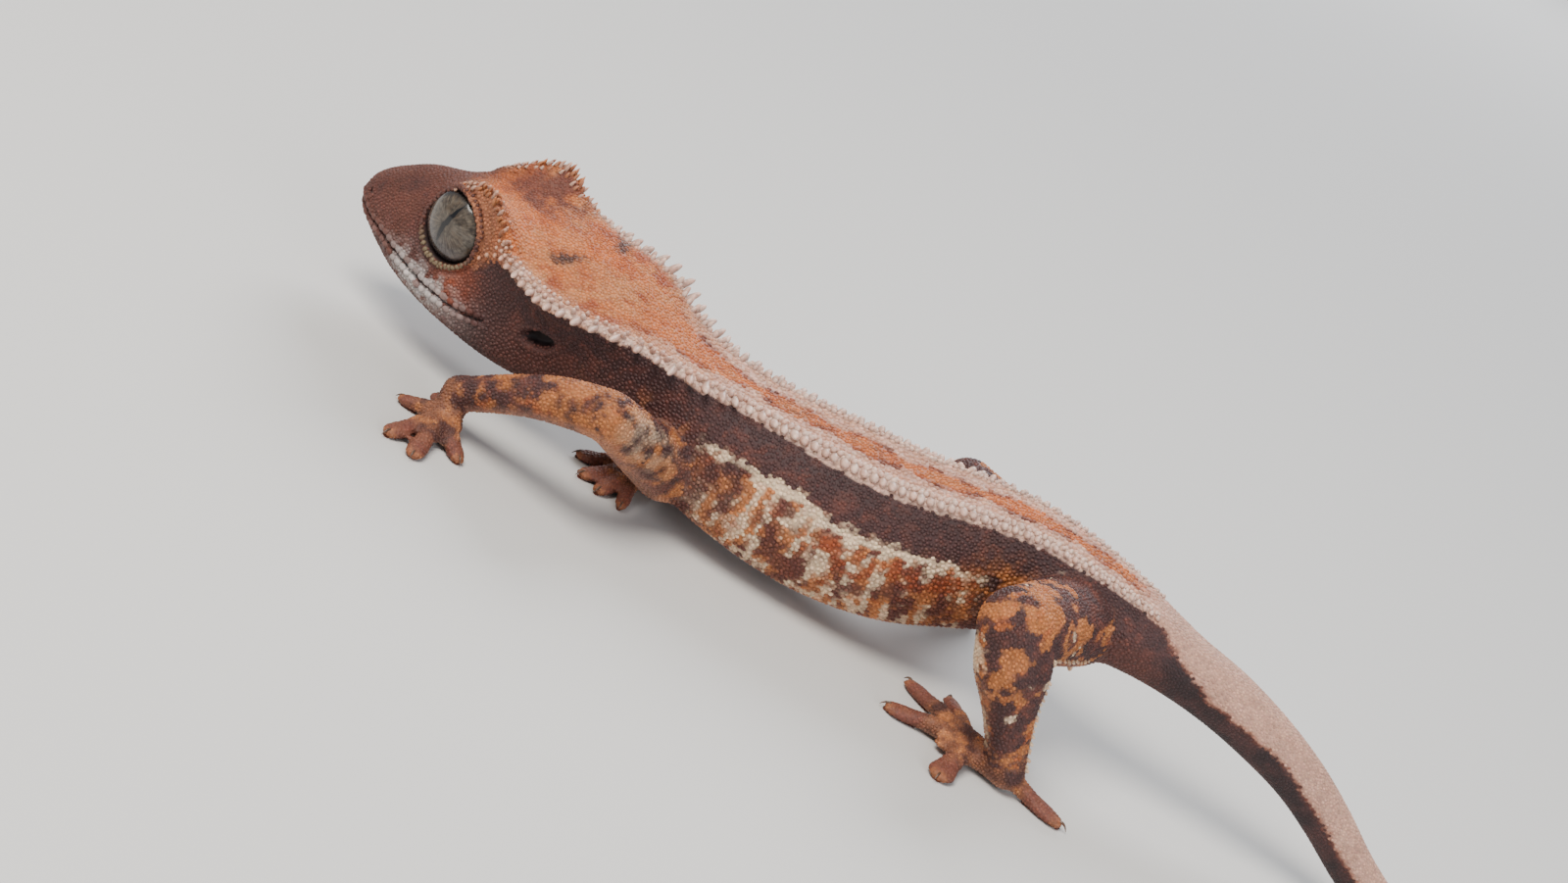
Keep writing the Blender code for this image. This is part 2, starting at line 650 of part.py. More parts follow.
def make_foot(name, limb):
    """A heel under the limb's end, a flat palm and toes, cut level with the floor and clear of the limb."""
    palm, toes = FEET[name]
    wide, tall = PALM_HALF[name.split("_")[1]]
    place = Vector((palm[0], palm[1], 0.0)) + MODEL_PLACE
    middle = place + Vector((0, 0, tall - FLOOR_SINK))
    _, bend, end, halves = limb_places(limb)
    run = (end - bend).normalized()
    size = halves[2]
    joint = end + run * GAP
    heel = joint + run * size * HEEL_REACH
    heel.z = max(heel.z, size * HEEL_SHARE - FLOOR_SINK)
    ahead = Vector((middle.x - heel.x, middle.y - heel.y, 0)).normalized()
    axes = (ahead, Vector((0, 0, 1)).cross(ahead), Vector((0, 0, 1)))
    base = ellipsoid(middle, axes, (wide * 1.2, wide, tall), 8, 12)
    joined = [
        straight_tube(joint, heel, (size, size), (size * 0.92, size * 0.92)),
        ellipsoid(heel, axes, (size * HEEL_SHARE,) * 3, 8, 10),
        straight_tube(heel, middle, (size * 0.9, size * 0.85), (wide * 0.72, tall * 0.9)),
    ]
    joined += [toe(place, Vector((x, y, 0.0)) + MODEL_PLACE, pad, 0.06 + 0.02 * i)
               for i, (x, y, pad) in enumerate(toes)]
    cuff = straight_tube(joint - run * CUFF_DEPTH, joint, (CUFF_WIDE, CUFF_WIDE), (CUFF_WIDE, CUFF_WIDE))
    make_node(name, base, joined, [floor_slab(), cuff], solver="MANIFOLD")


def make_gecko():
    clear_scene()
    make_head()
    make_trunk_and_tail()
    for limb, foot in (("left_arm", "left_hand"), ("right_arm", "right_hand"), ("left_leg", "left_foot"),
                       ("right_leg", "right_foot")):
        make_limb(limb)
        make_foot(foot, limb)


make_gecko()
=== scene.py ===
"""Looks of the crested gecko: one scaled skin over the body, glossy eyes, crest, camera and studio light.

Sizes are in millimetres here, and MM turns them into metres when a mesh is finished.
"""

import math

import bmesh
import bpy
import numpy as np
from mathutils import Matrix, Vector, kdtree


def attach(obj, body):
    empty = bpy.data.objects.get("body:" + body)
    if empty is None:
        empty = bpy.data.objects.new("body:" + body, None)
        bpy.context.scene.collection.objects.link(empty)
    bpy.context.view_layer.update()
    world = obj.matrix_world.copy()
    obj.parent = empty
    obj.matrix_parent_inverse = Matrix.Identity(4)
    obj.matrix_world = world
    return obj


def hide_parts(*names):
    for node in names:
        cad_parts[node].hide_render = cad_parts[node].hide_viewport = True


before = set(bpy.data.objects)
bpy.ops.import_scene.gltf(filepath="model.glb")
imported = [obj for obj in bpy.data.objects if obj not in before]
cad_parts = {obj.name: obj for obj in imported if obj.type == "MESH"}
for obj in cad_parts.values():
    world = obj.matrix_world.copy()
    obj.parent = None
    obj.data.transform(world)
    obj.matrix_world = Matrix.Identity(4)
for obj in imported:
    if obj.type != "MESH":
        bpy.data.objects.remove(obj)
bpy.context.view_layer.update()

MM = 0.001
SEED = 7
PLACE = np.array((-26.5, -1.0, 0.0))

# Stations along the body: distance from the snout tip, middle line (x, y, z), roll in degrees, height of the
# crown, half width and height of the crest edge, half width of the side, half width and drop of the jaw or
# flank, and depth of the underside.
STATIONS = np.array((
    (0.0, -24.1, 6.50, 6.75, 6, 0.50, 0.42, 0.36, 0.60, 0.52, 0.40, 0.55),
    (0.4, -23.7, 6.42, 6.80, 6, 1.15, 0.95, 0.92, 1.25, 1.08, 0.85, 1.10),
    (1.1, -23.0, 6.28, 6.88, 6, 1.80, 1.40, 1.45, 1.90, 1.65, 1.30, 1.75),
    (2.3, -21.8, 6.02, 7.02, 6, 2.60, 1.70, 1.95, 2.55, 2.40, 1.85, 2.60),
    (3.8, -20.35, 5.70, 7.20, 6, 3.40, 1.95, 2.40, 3.10, 3.20, 2.35, 3.20),
    (5.3, -18.9, 5.36, 7.35, 6, 3.80, 2.40, 2.80, 3.55, 3.85, 2.75, 3.60),
    (6.8, -17.4, 5.02, 7.50, 6, 4.00, 3.10, 4.10, 4.00, 4.35, 3.05, 4.00),
    (8.4, -15.85, 4.65, 7.65, 6, 4.15, 3.85, 5.35, 4.35, 4.75, 3.25, 4.25),
    (10.4, -13.9, 4.15, 7.80, 8, 4.35, 4.65, 6.05, 4.65, 5.05, 3.35, 4.50),
    (13.0, -11.35, 3.50, 8.00, 13, 4.30, 5.10, 4.05, 4.90, 5.25, 3.35, 4.70),
    (16.0, -8.40, 2.65, 8.20, 16, 4.00, 5.50, 2.95, 5.05, 5.15, 3.20, 4.70),
    (19.0, -5.45, 1.70, 8.40, 15, 3.60, 5.35, 2.95, 4.80, 4.70, 3.10, 4.60),
    (22.0, -2.5, 0.90, 8.10, 9, 3.25, 4.20, 2.90, 4.40, 4.30, 3.05, 4.65),
    (25.0, 0.5, 0.50, 7.50, 5, 3.35, 3.60, 3.10, 4.25, 4.10, 3.15, 4.85),
    (28.0, 3.5, 0.45, 6.95, 5, 3.85, 2.95, 3.65, 4.75, 4.45, 3.40, 5.15),
    (32.0, 7.5, 0.5, 6.35, 6, 4.60, 2.85, 4.40, 5.30, 4.75, 3.50, 5.30),
    (37.0, 12.5, 0.6, 6.20, 9, 5.15, 2.90, 4.95, 5.70, 4.90, 3.50, 5.30),
    (42.0, 17.4, 0.7, 6.80, 9, 5.10, 2.80, 4.85, 5.40, 4.60, 3.30, 5.00),
    (46.0, 21.2, 0.8, 7.85, 9, 4.85, 2.60, 4.60, 4.70, 4.00, 2.90, 4.40),
    (50.0, 25.0, 0.8, 8.95, 9, 4.30, 2.35, 4.05, 3.90, 3.30, 2.40, 3.85),
    (54.0, 28.9, 0.6, 9.60, 8, 3.50, 2.00, 3.25, 3.50, 2.90, 2.00, 3.30),
    (58.0, 32.9, 0.45, 9.75, 7, 2.75, 1.60, 2.50, 2.90, 2.40, 1.70, 2.70),
    (62.0, 36.9, 0.3, 9.40, 6, 2.25, 1.35, 1.95, 2.20, 1.80, 1.45, 2.15),
    (66.0, 40.8, 0.2, 8.95, 4, 2.10, 1.40, 1.65, 2.10, 1.50, 1.45, 2.05),
    (69.4, 44.1, 0.1, 8.20, 2, 1.95, 1.35, 1.42, 1.95, 1.38, 1.38, 1.92),
    (73.0, 47.5, 0.1, 7.05, 0, 1.75, 1.25, 1.25, 1.75, 1.25, 1.25, 1.75),
    (76.8, 50.7, 0.1, 5.45, 0, 1.62, 1.15, 1.15, 1.62, 1.15, 1.15, 1.62),
    (80.6, 54.0, 0.1, 3.50, 0, 1.50, 1.06, 1.06, 1.50, 1.06, 1.06, 1.50),
    (83.6, 56.7, 0.3, 2.20, 0, 1.42, 1.00, 1.00, 1.42, 1.00, 1.00, 1.42),
    (86.6, 59.6, 0.7, 1.50, 0, 1.33, 0.94, 0.94, 1.33, 0.94, 0.94, 1.33),
    (90.2, 63.0, 1.6, 1.17, 0, 1.20, 0.85, 0.85, 1.22, 0.85, 0.85, 1.22),
    (95.0, 67.6, 3.2, 0.98, 0, 1.02, 0.72, 0.72, 1.06, 0.72, 0.72, 1.04),
    (100.0, 72.0, 5.3, 0.80, 0, 0.84, 0.59, 0.59, 0.92, 0.59, 0.59, 0.86),
    (104.0, 75.2, 7.5, 0.62, 0, 0.66, 0.48, 0.48, 0.80, 0.48, 0.48, 0.68),
    (106.2, 76.8, 9.0, 0.42, 0, 0.34, 0.26, 0.24, 0.40, 0.26, 0.24, 0.46),
))
BODY_END = 106.2
CORNERS = 14
BELLY_TURN = 7
ROUND_SIDE = 0.54
ROUND_DROP = 0.27

# The eye: distance from the snout tip, distance to the side and height, then its half sizes along the head,
# outwards and upwards, and the half size of its opening in the skin.
EYE_PLACE = (8.4, 3.20, 2.05)
EYE_HALF = np.array((2.54, 1.74, 2.48))
EYE_OPENING = np.array((2.26, 2.36))
EYE_FORWARD_TURN = 14
EYE_UP_TURN = 4
PUPIL_TURN = math.radians(-14)

MOUTH_LINE = ((12.8, -1.45), (11.4, -1.95), (9.4, -2.20), (7.2, -2.05), (5.0, -1.65), (3.2, -1.25),
              (1.5, -0.85))
EAR_PLACE = (17.0, -0.1)
EAR_HALF = (1.25, 0.62)
EAR_TILT = -15
NOSTRIL_PLACE = (0.95, 0.45)
NOSTRIL_HALF = 0.24
MOUTH_POINTS = 400

# Each limb: its root inside the body, its bend, its end above the foot, and the half widths at those places.
LIMBS = {
    "left_arm": (((2.3, -2.7, 3.9), (-2.2, -9.6, 7.8), (-10.3, -6.3, 3.1)), (2.1, 1.60, 1.12)),
    "right_arm": (((2.8, 3.2, 5.2), (7.0, 9.2, 3.5), (2.3, 4.4, 1.2)), (2.1, 1.45, 1.00)),
    "left_leg": (((29.6, -0.6, 8.7), (25.2, -9.5, 9.7), (29.1, -9.7, 2.3)), (3.0, 2.35, 1.30)),
    "right_leg": (((28.2, 2.6, 8.9), (20.2, 8.7, 9.4), (24.6, 10.9, 2.2)), (2.8, 1.95, 1.25)),
}
MUSCLE_SWELL = {"arm": 0.04, "leg": 0.20}
MUSCLE_BOW = {"arm": 0.55, "leg": 0.0}

# Each hand or foot: the middle of its palm, and for each of its toes the tip and the half width of the pad.
FEET = {
    "left_hand": ((-11.1, -7.0), ((-12.6, -3.0, 0.55), (-14.2, -6.1, 0.62), (-13.3, -11.8, 0.70),
                                  (-11.2, -12.7, 0.74), (-8.8, -9.9, 0.66))),
    "right_hand": ((1.0, 1.9), ((1.0, -3.3, 0.52), (-0.8, -3.0, 0.62), (-2.3, -2.0, 0.68),
                                (-3.2, 0.7, 0.70), (-1.5, 4.1, 0.62))),
    "left_foot": ((27.2, -8.5), ((25.4, -2.4, 0.62), (22.4, -3.4, 0.72), (21.4, -8.4, 0.80),
                                 (25.7, -13.7, 0.95), (34.4, -10.6, 0.80))),
    "right_foot": ((22.6, 10.8), ((21.3, 6.1, 0.60), (18.2, 7.7, 0.72), (16.9, 11.0, 0.80),
                                  (18.6, 14.8, 0.85), (25.6, 15.6, 0.76))),
}
PALM_HEIGHT = 0.72
PALM_HALF = {"hand": (1.35, 0.74), "foot": (1.75, 0.80)}

# Parts of the skin. Limbs are 1 to 4 and feet 5 to 8, in the order of LIMBS and FEET.
BODY = 0
FIRST_LIMB = 1
FIRST_FOOT = 5
VOXEL = 0.24

# Where the coat of scales is cut into pieces along the body, and where the crest and its beads run.
HEAD_END = 21
CHEST_END = 37
TAIL_START = 58
CREST_START = 10.9
BEADS_START = 12.0
CREST_END = 58.8
SPOTS_PER_SCALE = 6.5
# How deep the painted shade of a recess may be for scales to grow on it.
OPEN_RECESS_SHADE = 0.45
TOE_PAD_START = 0.68
PLATE_TURN = 10.5
SCALE_ON_UNWRAP = 0.0015
LOWEST_SCALE = 0.01

# Lights: name, place in metres, size in metres, watts and colour.
LIGHTS = (
    ("key", (-0.16, -0.16, 0.36), 0.24, 2.3, (1.0, 0.96, 0.90)),
    ("fill", (0.26, -0.30, 0.14), 0.30, 0.9, (0.90, 0.94, 1.0)),
    ("back", (0.06, 1.10, 0.80), 0.80, 18.0, (0.92, 0.95, 1.0)),
)
LIT_PLACE = Vector((0, 0, 0.005))

# The camera as fitted to the photo: azimuth, elevation and roll in degrees, and its place in millimetres.
CAMERA_ANGLES = (-2.16, 20.222, 31.756)
CAMERA_PLACE = Vector((-24.333, -150.924, 63.898))
CAMERA_LENS = 57.6

# Colours of the hide, as seen in soft daylight.
HUES = {
    "dark": (70, 42, 40), "maroon": (100, 56, 46), "snout": (94, 54, 43), "tan": (186, 118, 70),
    "orange": (186, 98, 42), "rust": (146, 66, 30), "ink": (46, 29, 30), "pink": (194, 148, 126),
    "bead": (218, 187, 170), "cream": (222, 196, 164), "belly": (168, 124, 104), "tail": (192, 150, 130),
    "gold": (168, 102, 52), "foot": (130, 82, 58), "pad": (116, 66, 52), "lip": (182, 174, 170),
    "brow": (158, 104, 76),
}


def linear(colour):
    """A screen colour from 0 to 255 as linear shares of light."""
    share = np.array(colour, float) / 255
    return np.where(share <= 0.04045, share / 12.92, ((share + 0.055) / 1.055) ** 2.4)


HUE = {name: linear(colour) for name, colour in HUES.items()}


def smooth(low, high, value):
    t = np.clip((value - low) / (high - low), 0, 1)
    return t * t * (3 - 2 * t)


def bell(value, middle, width):
    return np.exp(-((value - middle) / width) ** 2)


def mix(a, b, share):
    share = np.asarray(share)[..., None]
    return a + (b - a) * share


def unit(vectors):
    return vectors / np.maximum(np.linalg.norm(vectors, axis=-1, keepdims=True), 1e-9)


def band_of(turn):
    """The place between crown (0) and belly (7), the same on both sides."""
    return np.where(turn > BELLY_TURN, CORNERS - turn, turn)


def mirrored(turn, side):
    """The turn of a place on the left side, or of its twin on the right."""
    return turn if side > 0 else CORNERS - turn


def on_floor(x, y):
    return np.array((x, y, 0.0)) + PLACE


def lengths_along(path):
    """The distance of each point of a path from its start."""
    return np.concatenate(([0], np.cumsum(np.linalg.norm(np.diff(path, axis=0), axis=1))))


def on_curve(keys, values, at):
    """Values at these places, on a smooth curve through all of the given ones."""
    slopes = np.gradient(values, keys, axis=0)
    i = np.clip(np.searchsorted(keys, at) - 1, 0, len(keys) - 2)
    span = (keys[i + 1] - keys[i])[:, None]
    t = (np.asarray(at) - keys[i])[:, None] / span
    return ((1 + 2 * t) * (1 - t) ** 2 * values[i] + t * t * (3 - 2 * t) * values[i + 1]
            + span * t * (1 - t) ** 2 * slopes[i] + span * t * t * (t - 1) * slopes[i + 1])


def grain(points, size, seed):
    """Smooth noise from -1 to 1 whose spots are about this size."""
    cell = points / size + seed * 17.31
    low = np.floor(cell).astype(np.int64)
    part = cell - low
    part = part * part * (3 - 2 * part)
    total = np.zeros(len(points))
    for corner in range(8):
        step = np.array((corner & 1, corner >> 1 & 1, corner >> 2 & 1))
        x, y, z = (low + step).T
        code = (x * 73856093) ^ (y * 19349663) ^ (z * 83492791)
        code = ((code ^ (code >> 13)) * 1274126177) & 0x7FFFFFFF
        total += np.prod(np.where(step, part, 1 - part), axis=1) * code / 0x7FFFFFFF
    return total * 2 - 1


def clouds(points, size, seed):
    """Noise of this size with two finer ones over it."""
    return (grain(points, size, seed) * 0.6 + grain(points, size * 0.47, seed + 1) * 0.3
            + grain(points, size * 0.21, seed + 2) * 0.15)


# The body's form


def rows_at(at):
    """The rows of STATIONS at these distances, on a smooth curve through all of them."""
    return on_curve(STATIONS[:, 0], STATIONS, at)


def frames_at(at):
    """The middle of the body at these distances, with its left, up and back directions."""
    at = np.atleast_1d(np.asarray(at, float))
    rows = rows_at(at)
    ahead = rows_at(np.maximum(at - 0.05, 0))
    behind = rows_at(np.minimum(at + 0.05, BODY_END))
    back = unit(behind[:, 1:4] - ahead[:, 1:4])
    upright = unit(np.array((0, 0, 1.0)) - back * back[:, 2:3])
    sideways = np.cross(back, upright)
    roll = np.radians(rows[:, 4:5])
    up = upright * np.cos(roll) + sideways * np.sin(roll)
    left = sideways * np.cos(roll) - upright * np.sin(roll)
    return rows[:, 1:4] + PLACE, left, up, back


def outlines_at(at, fine):
    """The body's outline at these distances: (left, up) points from the crown down the left side and back."""
    crown, edge, edge_up, side, jaw, jaw_down, depth = rows_at(np.atleast_1d(np.asarray(at, float)))[:, 5:].T
    nothing = np.zeros_like(crown)
    half = [(nothing, crown), (ROUND_SIDE * edge, crown - ROUND_DROP * (crown - edge_up)), (edge, edge_up),
            (side - ROUND_DROP * (side - edge), ROUND_SIDE * edge_up), (side, nothing), (jaw, -jaw_down),
            (ROUND_SIDE * jaw, -depth + ROUND_DROP * (depth - jaw_down)), (nothing, -depth)]
    corners = np.array([(x, y) for x, y in half] + [(-x, y) for x, y in half[-2:0:-1]]).transpose(2, 0, 1)
    a, b, c, d = (np.roll(corners, -k, axis=1) for k in (-1, 0, 1, 2))
    parts = []
    for j in range(fine):
        t = j / fine
        parts.append(0.5 * (2 * b + (c - a) * t + (2 * a - 5 * b + 4 * c - d) * t * t
                            + (3 * b - a - 3 * c + d) * t ** 3))
    return np.stack(parts, axis=2).reshape(len(corners), CORNERS * fine, 2)


def body_point(along, left_by, up_by):
    """The place this far to the left and up from the body's middle."""
    middle, left, up, _ = (part[0] for part in frames_at(along))
    return middle + left * left_by + up * up_by


def side_reach(along, height):
    """How far the body reaches to its side at a height."""
    left_side = outlines_at(along, 8)[0, :CORNERS * 4 + 1]
    return float(np.interp(-height, -left_side[:, 1], left_side[:, 0]))


def surface_at(along, turn):
    """Points of the body's surface with their outward and back directions. Turn 0 is the crown, 7 the belly."""
    fine = 12
    outline = outlines_at(along, fine)
    middle, left, up, back = frames_at(along)
    index = np.rint(np.asarray(turn) * fine).astype(int) % (CORNERS * fine)
    pick = np.arange(len(outline))
    here = outline[pick, index]
    run = outline[pick, (index + 2) % (CORNERS * fine)] - outline[pick, index - 2]
    out = unit(left * -run[:, 1:2] + up * run[:, 0:1])
    return middle + left * here[:, 0:1] + up * here[:, 1:2], out, back


class Shapes:
    """Closed shapes gathered in one bmesh, with notes on each of their points."""

    def __init__(self):
        self.mesh = bmesh.new()
        self.points = []
        self.notes = []

    def add(self, rings, region, along, turns, flow):
        """Adds a ball whose rings are moved to these rings, so that it closes over their ends."""
        count, sides = rings.shape[:2]
        made = bmesh.ops.create_uvsphere(self.mesh, u_segments=sides, v_segments=count + 1, radius=1.0)["verts"]
        at = np.array([vert.co for vert in made])
        row = np.rint(np.arccos(np.clip(at[:, 2], -1, 1)) * (count + 1) / math.pi).astype(int) - 1
        column = np.rint(np.arctan2(at[:, 1], at[:, 0]) * sides / (2 * math.pi)).astype(int) % sides
        ends = rings[0].mean(axis=0), rings[-1].mean(axis=0)
        for vert, i, j in zip(made, row, column):
            vert.co = ends[0] if i < 0 else ends[1] if i >= count else rings[i, j]
        self.points.append(rings.reshape(-1, 3))
        notes = np.empty((count, sides, 6))
        notes[..., 0] = region
        notes[..., 1] = np.asarray(along)[:, None]
        notes[..., 2] = turns
        notes[..., 3:] = flow[:, None, :]
        self.notes.append(notes.reshape(-1, 6))


def tube(shapes, path, sizes, sides, region, along, step=0.35):
    """A tube along a path with a half width and half height at each point, and rounded ends."""
    path = np.array(path, float)
    sizes = np.array(sizes, float)
    length = lengths_along(path)
    ends = sizes[0].min(), sizes[-1].min()
    at = np.concatenate((ends[0] * (np.cos(np.linspace(math.pi * 0.97, math.pi / 2, 5)[:-1])),
                         np.linspace(0, length[-1], max(3, round(length[-1] / step))),
                         length[-1] + ends[1] * np.cos(np.linspace(math.pi / 2, 0.03 * math.pi, 5)[1:])))
    inner = np.clip(at, 0, length[-1])
    points = np.stack([np.interp(inner, length, path[:, k]) for k in range(3)], axis=1)
    run = unit(np.gradient(points, axis=0) + 1e-9)
    start, finish = unit(path[1] - path[0]), unit(path[-1] - path[-2])
    run[at < 0], run[at > length[-1]] = start, finish
    points[at < 0] += start * at[at < 0][:, None]
    points[at > length[-1]] += finish * (at[at > length[-1]] - length[-1])[:, None]
    half = np.stack([np.interp(inner, length, sizes[:, k]) for k in range(2)], axis=1)
    past = np.where(at < 0, -at / ends[0], np.where(at > length[-1], (at - length[-1]) / ends[1], 0))
    half *= np.sqrt(np.clip(1 - past ** 2, 0.01, 1))[:, None]
    level = np.cross(run[len(run) // 2], (0, 0, 1.0))
    if np.linalg.norm(level) < 0.2:
        level = np.array((0, 1.0, 0))
    level = unit(level - run * (run @ level)[:, None])
    rise = np.cross(level, run)
    angle = np.arange(sides) * 2 * math.pi / sides
    rings = points[:, None] + level[:, None] * (half[:, :1] * np.cos(angle))[..., None] \
        + rise[:, None] * (half[:, 1:] * np.sin(angle))[..., None]
    share = along[0] + (along[1] - along[0]) * inner / length[-1]
    shapes.add(rings, region, share, angle * CORNERS / (2 * math.pi), run)


def ball(shapes, middle, axes, half, region, along, flow):
    """An ellipsoid at a joint or in a palm."""
    rows = np.linspace(0.06, math.pi - 0.06, 14)
    angle = np.arange(20) * 2 * math.pi / 20
    rings = np.array(middle)[None, None] + axes[2] * (half[2] * np.cos(rows))[:, None, None] \
        + axes[0] * (half[0] * np.sin(rows)[:, None] * np.cos(angle))[..., None] \
        + axes[1] * (half[1] * np.sin(rows)[:, None] * np.sin(angle))[..., None]
    shapes.add(rings, region, np.full(len(rows), along), angle * CORNERS / (2 * math.pi),
               np.repeat(np.array(flow)[None], len(rows), axis=0))


def muscle(shapes, start, end, start_half, end_half, swell, bow, region, along):
    """A length of limb that swells near its start and bows upwards."""
    share = np.linspace(0, 1, 24)
    path = start + (end - start) * share[:, None]
    path[:, 2] += bow * np.sin(math.pi * share)
    half = (start_half + (end_half - start_half) * share) * (1 + swell * bell(share, 0.35, 0.22))
    tube(shapes, path, np.stack((half, half), axis=1), 28, region, along)


def add_body(shapes):
    along = np.concatenate((np.linspace(0.02, 1.2, 8)[:-1], np.arange(1.2, BODY_END, 0.4)))
    fine = 6
    outline = outlines_at(along, fine)
    middle, left, up, back = frames_at(along)
    rings = middle[:, None] + left[:, None] * outline[..., :1] + up[:, None] * outline[..., 1:]
    shapes.add(rings, BODY, along, np.arange(CORNERS * fine) / fine, back)


def add_limb(shapes, name, region):
    places, halves = LIMBS[name]
    root, bend, end = (np.array(place) + PLACE for place in places)
    kind = name.split("_")[1]
    muscle(shapes, root, bend, halves[0], halves[1], 0.0, 0.0, region, (0.0, 0.5))
    muscle(shapes, bend, end, halves[1], halves[2], MUSCLE_SWELL[kind], MUSCLE_BOW[kind], region, (0.5, 1.0))


def add_foot(shapes, name, limb, region):
    """A hand or foot: heel, palm, toes with their pads, and webs between toes that lie close."""
    palm, toes = FEET[name]
    kind = name.split("_")[1]
    wide, tall = PALM_HALF[kind]
    middle = np.array((palm[0], palm[1], tall)) + PLACE
    places, halves = LIMBS[limb]
    bend, end = (np.array(place) + PLACE for place in places[1:])
    run = unit(end - bend)
    size = halves[2]
    heel = end + run * (0.3 + size * 0.75)
    heel[2] = max(heel[2], size * 0.98)
    ahead = unit((middle - heel) * (1, 1, 0))
    axes = np.array((ahead, np.cross((0, 0, 1.0), ahead), (0, 0, 1.0)))
    tube(shapes, (end - run * 0.3, heel), ((size, size), (size * 0.92, size * 0.92)), 24, region, (0, 0.05))
    instep = (size * 0.9, size * 0.85), (wide * 0.75, tall * 0.95)
    tube(shapes, (heel, middle), instep, 24, region, (0.05, 0.2))
    ball(shapes, middle, axes, (wide * 1.2, wide, tall), region, 0.2, ahead)
    start = np.array((middle[0], middle[1], PALM_HEIGHT))
    for x, y, pad in toes:
        tip = on_floor(x, y)
        slim = pad * 0.74
        # Each row: the share of the way to the tip, the height, the half width and the half height.
        stretches = ((0.05, 0.72, 0.70, 0.62), (0.30, 0.80, slim, 0.62), (0.52, 0.74, slim * 0.95, 0.54),
                     (0.64, 0.55, slim * 1.04, 0.50), (0.76, 0.42, pad * 0.98, 0.44),
                     (0.87, 0.36, pad * 1.02, 0.38), (0.955, 0.30, pad * 0.78, 0.32))
        share = np.array([row[0] for row in stretches])
        path = start + (tip - start) * share[:, None]
        path[:, 2] = [row[1] for row in stretches]
        dense = np.linspace(share[0], share[-1], 22)
        smooth_path = np.stack([np.interp(dense, share, path[:, k]) for k in range(3)], axis=1)
        half = np.stack([np.interp(dense, share, [row[k] for row in stretches]) for k in (2, 3)], axis=1)
        tube(shapes, smooth_path, half, 20, region, (0.2, 1.0), 0.25)
    ring = sorted(toes, key=lambda toe: math.atan2(toe[1] - palm[1], toe[0] - palm[0]))
    for a, b in zip(ring, ring[1:] + ring[:1]):
        one, two = (on_floor(*toe[:2]) for toe in (a, b))
        spread = unit(one - start * (1, 1, 0)) @ unit(two - start * (1, 1, 0))
        if spread > 0.25:
            web = start * (1, 1, 0) + (one + two - start * (2, 2, 0)) * 0.17 + (0, 0, 0.55)
            out = unit((one + two) / 2 - start * (1, 1, 0))
            axes = np.array((out, np.cross((0, 0, 1.0), out), (0, 0, 1.0)))
            ball(shapes, web, axes, (1.1, 0.75, 0.30), region, 0.4, out)


# The skin as one mesh


def eye_axes(side):
    """The eye's own directions: back along the head, up, and out through the pupil."""
    _, left, up, back = (part[0] for part in frames_at(EYE_PLACE[0]))
    forward_turn, up_turn = math.radians(EYE_FORWARD_TURN), math.radians(EYE_UP_TURN)
    level_out = left * (side * math.cos(forward_turn)) - back * math.sin(forward_turn)
    out = level_out * math.cos(up_turn) + up * math.sin(up_turn)
    along = unit(back - out * (back @ out))
    rise = np.cross(along, out)
    return np.array((along, rise * (1 if rise @ up > 0 else -1), out))


def eye_middle(side):
    return body_point(EYE_PLACE[0], side * EYE_PLACE[1], EYE_PLACE[2])


def mouth_path():
    """Points along the closed lips, from the left corner round the snout to the right one."""
    halves = []
    for side in (1, -1):
        half = [body_point(along, side * side_reach(along, height), height) for along, height in MOUTH_LINE]
        half.append(body_point(0.35, side * side_reach(0.35, -0.4), -0.42))
        halves.append(half)
    line = np.array(halves[0] + [body_point(0.0, 0.0, -0.38)] + halves[1][::-1])
    length = lengths_along(line)
    return on_curve(length, line, np.linspace(0, length[-1], MOUTH_POINTS))


def evaluated(item):
    graph = bpy.context.evaluated_depsgraph_get()
    mesh = bpy.data.meshes.new_from_object(item.evaluated_get(graph), depsgraph=graph)
    bpy.data.objects.remove(item, do_unlink=True)
    return mesh


def points_of(mesh):
    flat = np.empty(len(mesh.vertices) * 3, np.float32)
    mesh.vertices.foreach_get("co", flat)
    return flat.reshape(-1, 3).astype(float)


def normals_of(mesh):
    flat = np.empty(len(mesh.vertices) * 3, np.float32)
    mesh.vertex_normals.foreach_get("vector", flat)
    return flat.reshape(-1, 3).astype(float)


def set_points(mesh, points):
    mesh.vertices.foreach_set("co", points.astype(np.float32).ravel())
    mesh.update()


def edges_of(mesh):
    flat = np.empty(len(mesh.edges) * 2, np.int32)
    mesh.edges.foreach_get("vertices", flat)
    return flat.reshape(-1, 2)


def relax(values, edges, rounds, share):
    """Evens out one row of values for each point with those of its neighbours."""
    count = len(values)
    degree = np.bincount(edges.ravel(), minlength=count)[:, None]
    for _ in range(rounds):
        total = np.stack([np.bincount(edges[:, 0], values[edges[:, 1], k], count)
                          + np.bincount(edges[:, 1], values[edges[:, 0], k], count)
                          for k in range(values.shape[1])], axis=1)
        values = values + (total / np.maximum(degree, 1) - values) * share
    return values


def tree_of(points):
    tree = kdtree.KDTree(len(points))
    for i, point in enumerate(points):
        tree.insert(point, i)
    tree.balance()
    return tree


def nearest_notes(points, shapes):
    """For each point the notes of the nearest source point."""
    notes = np.concatenate(shapes.notes)
    tree = tree_of(np.concatenate(shapes.points))
    return notes[[tree.find(point)[1] for point in points]]


def near_line(points, line):
    """How far each point is from the line."""
    tree = tree_of(line)
    return np.array([tree.find(point)[2] for point in points])


